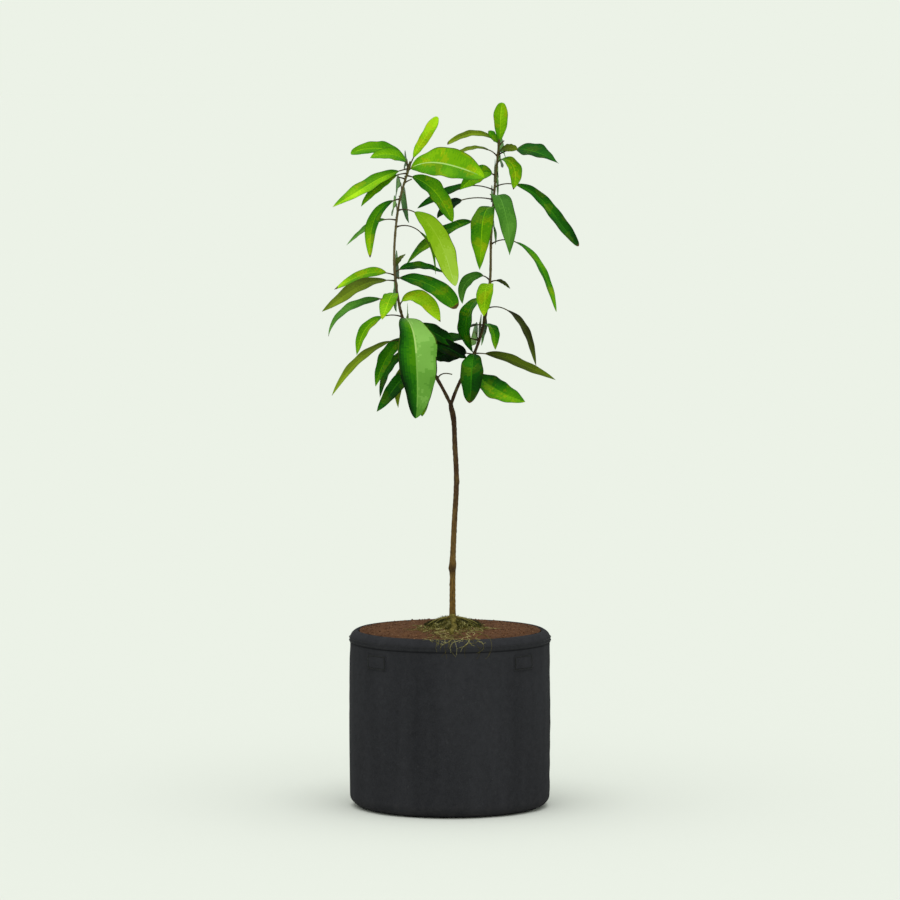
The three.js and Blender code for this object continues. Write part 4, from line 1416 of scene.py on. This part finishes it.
def over_rim(points, lift):
    """Puts points on the mat or the soil or, as far out as the bag's rim, over it and down the wall."""
    edge = EDGE_RADIUS + HEM_STEP
    shoulder = arc(edge - SHOULDER_RADIUS, BAG_HEIGHT - SHOULDER_RADIUS, SHOULDER_RADIUS, 75, 0, 8)
    wall = [(edge, HEM_FOOT), (edge - HEM_STEP, HEM_FOOT - 1), (edge - HEM_STEP, HEM_FOOT - 60)]
    radii, heights = np.array([(SOIL_RADIUS, BAG_HEIGHT - 0.5), *shoulder, *wall]).T
    run = radii[0] + np.concatenate([[0], np.cumsum(np.hypot(np.diff(radii), np.diff(heights)))])
    out, _ = round_from(points)
    placed = mat_surface(points)
    beyond = out > radii[0]
    new_out = np.interp(out[beyond], run, radii) + lift[beyond]
    placed[beyond, :2] = points[beyond, :2] * (new_out / out[beyond])[:, None]
    placed[beyond, 2] = np.interp(out[beyond], run, heights)
    placed[beyond] += bag_folds(placed[beyond])
    placed[:, 2] += lift
    return placed


def surface_roots_piece(finishes):
    """Fine pale roots that wander out over the mat and the soil."""
    draw = seeded(SURFACE_SEED)
    heap = Heap()
    for i in range(SURFACE_ROOTS):
        heading = (i + draw(-0.4, 0.4)) / SURFACE_ROOTS * FULL_TURN
        line = wander(draw, MAT_MIDDLE * [1, 1, 0], heading, ROOT_REACH * draw(0.5, 0.95), 0.6)
        rootlets(heap, draw, line, draw(0.3, 0.75), len(finishes))
    finished(heap.make("surface_roots"), finishes, 70, "moss")


def trailing_roots_piece(finishes):
    """Fine roots in front of the trunk: a short curly tangle, and long ones that reach over the rim."""
    draw = seeded(TRAILING_SEED)
    heap = Heap()
    foot = MAT_MIDDLE * [1, 1, 0]
    for _ in range(TANGLED_ROOTS):
        side = draw(-1, 1)
        start = foot + [54 * side, -draw(6, 104) * (1 - 0.4 * abs(side)), 0]
        line = wander(draw, start, FORWARDS + 1.2 * side, draw(18, 52), 1.6)
        rootlets(heap, draw, line, draw(0.3, 0.7), len(finishes))
    for _ in range(DRAPED_ROOTS):
        side = draw(-1, 1)
        start = foot + [34 * side, -draw(64, 110), 0]
        hang = 2 + 20 * (1 - abs(side)) * draw(0.2, 1)
        line = wander(draw, start, FORWARDS, 1.3 * (BAG_RADIUS + start[1] + hang), 0.95)
        rootlets(heap, draw, line, draw(0.35, 0.65), len(finishes))
    finished(heap.make("trailing_roots"), finishes, 70, "moss")


def front_root_piece(bark):
    """The thick mossy root that runs forwards from the trunk's foot."""
    t = np.linspace(0, 1, 50)
    turn = FORWARDS + 0.05 * t**2 + 0.06 * np.sin(5 * t)
    radii = 1.25 * mix(FRONT_ROOT_RADIUS, FRONT_ROOT_TIP, t) + 0.5 * np.sin(17 * t)
    line = mat_surface(polar(mix(2, FRONT_ROOT_REACH, t), turn, MAT_MIDDLE))
    line[:, 2] = np.maximum(line[:, 2] + radii * 0.45, SOIL_TOP + MAT_HEIGHT * (1 - 2.6 * t) + 2)
    heap = Heap()
    heap.add(*tube(line, radii, 16))
    piece = heap.make("front_root")
    finished(piece, [bark], 70, "moss")
    roughen(piece, 0.5, 4.5, 33)  # after the smoothing, so that only the cut ends stay sharp


def foot_roots_piece(bark, pale):
    """The trunk's root flare: thick roots that dive into the mat, and thinner ones that arch over it."""
    draw = seeded(FOOT_SEED)
    heap = Heap()
    t = np.linspace(0, 1, 14)
    for i in range(FLARE_ROOTS):
        turn = (i + draw(-0.3, 0.3)) / FLARE_ROOTS * FULL_TURN
        out = mix(3.2, draw(19, 27), t)
        line = mat_surface(polar(out, turn + draw(-0.4, 0.4) * t, MAT_MIDDLE))
        line[:, 2] = mix(SOIL_TOP + MAT_HEIGHT + 4, line[:, 2] - 1.6, t**0.7)
        heap.add(*tube(line, mix(2.6, 0.9, t), 10))
    t = np.linspace(0, 1, 26)
    for direction, reach, thick in ARCHED_ROOTS:
        turn = math.radians(direction) + draw(-0.25, 0.25) * t + 0.05 * np.sin(9 * t)
        line = polar(mix(3.0, reach, t), turn, MAT_MIDDLE)
        line[:, 2] = SOIL_TOP + mix(MAT_HEIGHT + 1, -1, t**2.3)
        heap.add(*tube(line, thick * (1.15 - 0.5 * t), 8), 1)
    piece = heap.make("foot_roots")
    finished(piece, [bark, pale], 70, "bark")
    roughen(piece, 0.16, 2.4, 71)


# ---------------------------------------- floor, light and camera
SURROUNDINGS = srgb(236, 242, 231)
SUN_SHARE = 0.5  # of the light on level ground
SUN_TILT = 13.0  # from straight overhead, in degrees
SUN_TURN = -6.0
SUN_SPREAD = 60.0
CAMERA_PLACE = Vector((0, -8.87, 1.32))  # in metres, as are the next lengths
CAMERA_AIM = Vector((0, 0, 0.636))
FLOOR_SIZE = 400
FLOOR_GAP = 0.0004  # between the floor and the bag's underside
CAMERA_LENS = 200  # in millimetres


def stage():
    """A pale floor that runs on into the pale surroundings, soft light and the camera."""
    bpy.ops.object.select_all(action="DESELECT")
    bpy.ops.mesh.primitive_plane_add(size=FLOOR_SIZE, location=(0, 0, -FLOOR_GAP))
    floor = bpy.context.active_object
    floor.name = "floor"
    albedo = [c / (c + SUN_SHARE) for c in SURROUNDINGS]
    floor.data.materials.append(Finish("floor", albedo, 1.0, 0.0).material)

    world = bpy.data.worlds.new("surroundings")
    world.use_nodes = True
    world.node_tree.nodes["Background"].inputs["Color"].default_value = (*SURROUNDINGS, 1)
    bpy.context.scene.world = world
    bpy.context.scene.view_settings.view_transform = "Standard"

    sun = bpy.data.lights.new("sun", "SUN")
    sun.energy = SUN_SHARE * math.pi / math.cos(math.radians(SUN_TILT))
    sun.angle = math.radians(SUN_SPREAD)
    lamp = bpy.data.objects.new("sun", sun)
    lamp.rotation_euler = (math.radians(SUN_TILT), 0, math.radians(SUN_TURN))

    lens = bpy.data.cameras.new("camera")
    lens.lens = CAMERA_LENS
    lens.sensor_width = 36
    lens.clip_end = 1000
    camera = bpy.data.objects.new("camera", lens)
    camera.location = CAMERA_PLACE
    camera.rotation_euler = (CAMERA_AIM - CAMERA_PLACE).to_track_quat("-Z", "Y").to_euler()
    for thing in (lamp, camera):
        bpy.context.scene.collection.objects.link(thing)
    bpy.context.scene.camera = camera


# ---------------------------------------- the whole sapling
grow_spares()

felt = felt_finish()
thread = thread_finish()
bag_piece(felt)
hem_stitching(thread)
for corner, turn in PATCH_TURNS.items():
    patch_piece(f"{corner}_stitched_patch", turn, felt, thread)
    patch_stitching(f"{corner}_patch_stitching", turn, thread)

soil_piece(soil_finish())
crumbs_piece(plain_finishes("soil_crumb", SOIL_SHADES, 0.95, 0.2))
mat_piece(moss_finish())
front_root_piece(mossy_root_finish())
tufts_piece(plain_finishes("moss_shoot", MOSS_SHADES, 0.8, 0.2))
pale_roots = plain_finishes("pale_root", ROOT_SHADES, 0.8, 0.1)
surface_roots_piece(pale_roots)
trailing_roots_piece(pale_roots)

trunk_bark = bark_finish(
    "trunk_bark",
    [
        (320, (78, 80, 30)),
        (348, (128, 98, 46)),
        (424, (120, 92, 44)),
        (560, (80, 56, 34)),
        (720, (54, 37, 24)),
    ],
    cracks=0.6,
    pale=(124, 102, 58),
    scars=[GRAFT_HEIGHT - 6, KNOT_HEIGHT],
)
bough_bark = bark_finish(
    "bough_bark",
    [(716, (56, 38, 26)), (860, (72, 58, 34)), (980, (112, 98, 70)), (1180, (84, 80, 40))],
    cracks=0.4,
    pale=(120, 122, 66),
)
trunk_piece(trunk_bark)
foot_roots_piece(trunk_bark, pale_roots[2])
for side in BOUGH_LINES:
    bough_piece(side, bough_bark)

leaf_finishes = []
for row, colours in LEAF_ROWS.items():
    leaf_finishes += plain_finishes(f"leaf_{row}", colours, 0.45, 0.04)
stalk_finishes = plain_finishes("leaf_stalk", STALK_SHADES, 0.6, 0.14)
for number, flush in enumerate(FLUSHES):
    flush_pieces(flush, leaf_finishes, stalk_finishes, LEAF_SEED + LEAF_SEED_STEP * number)

stage()
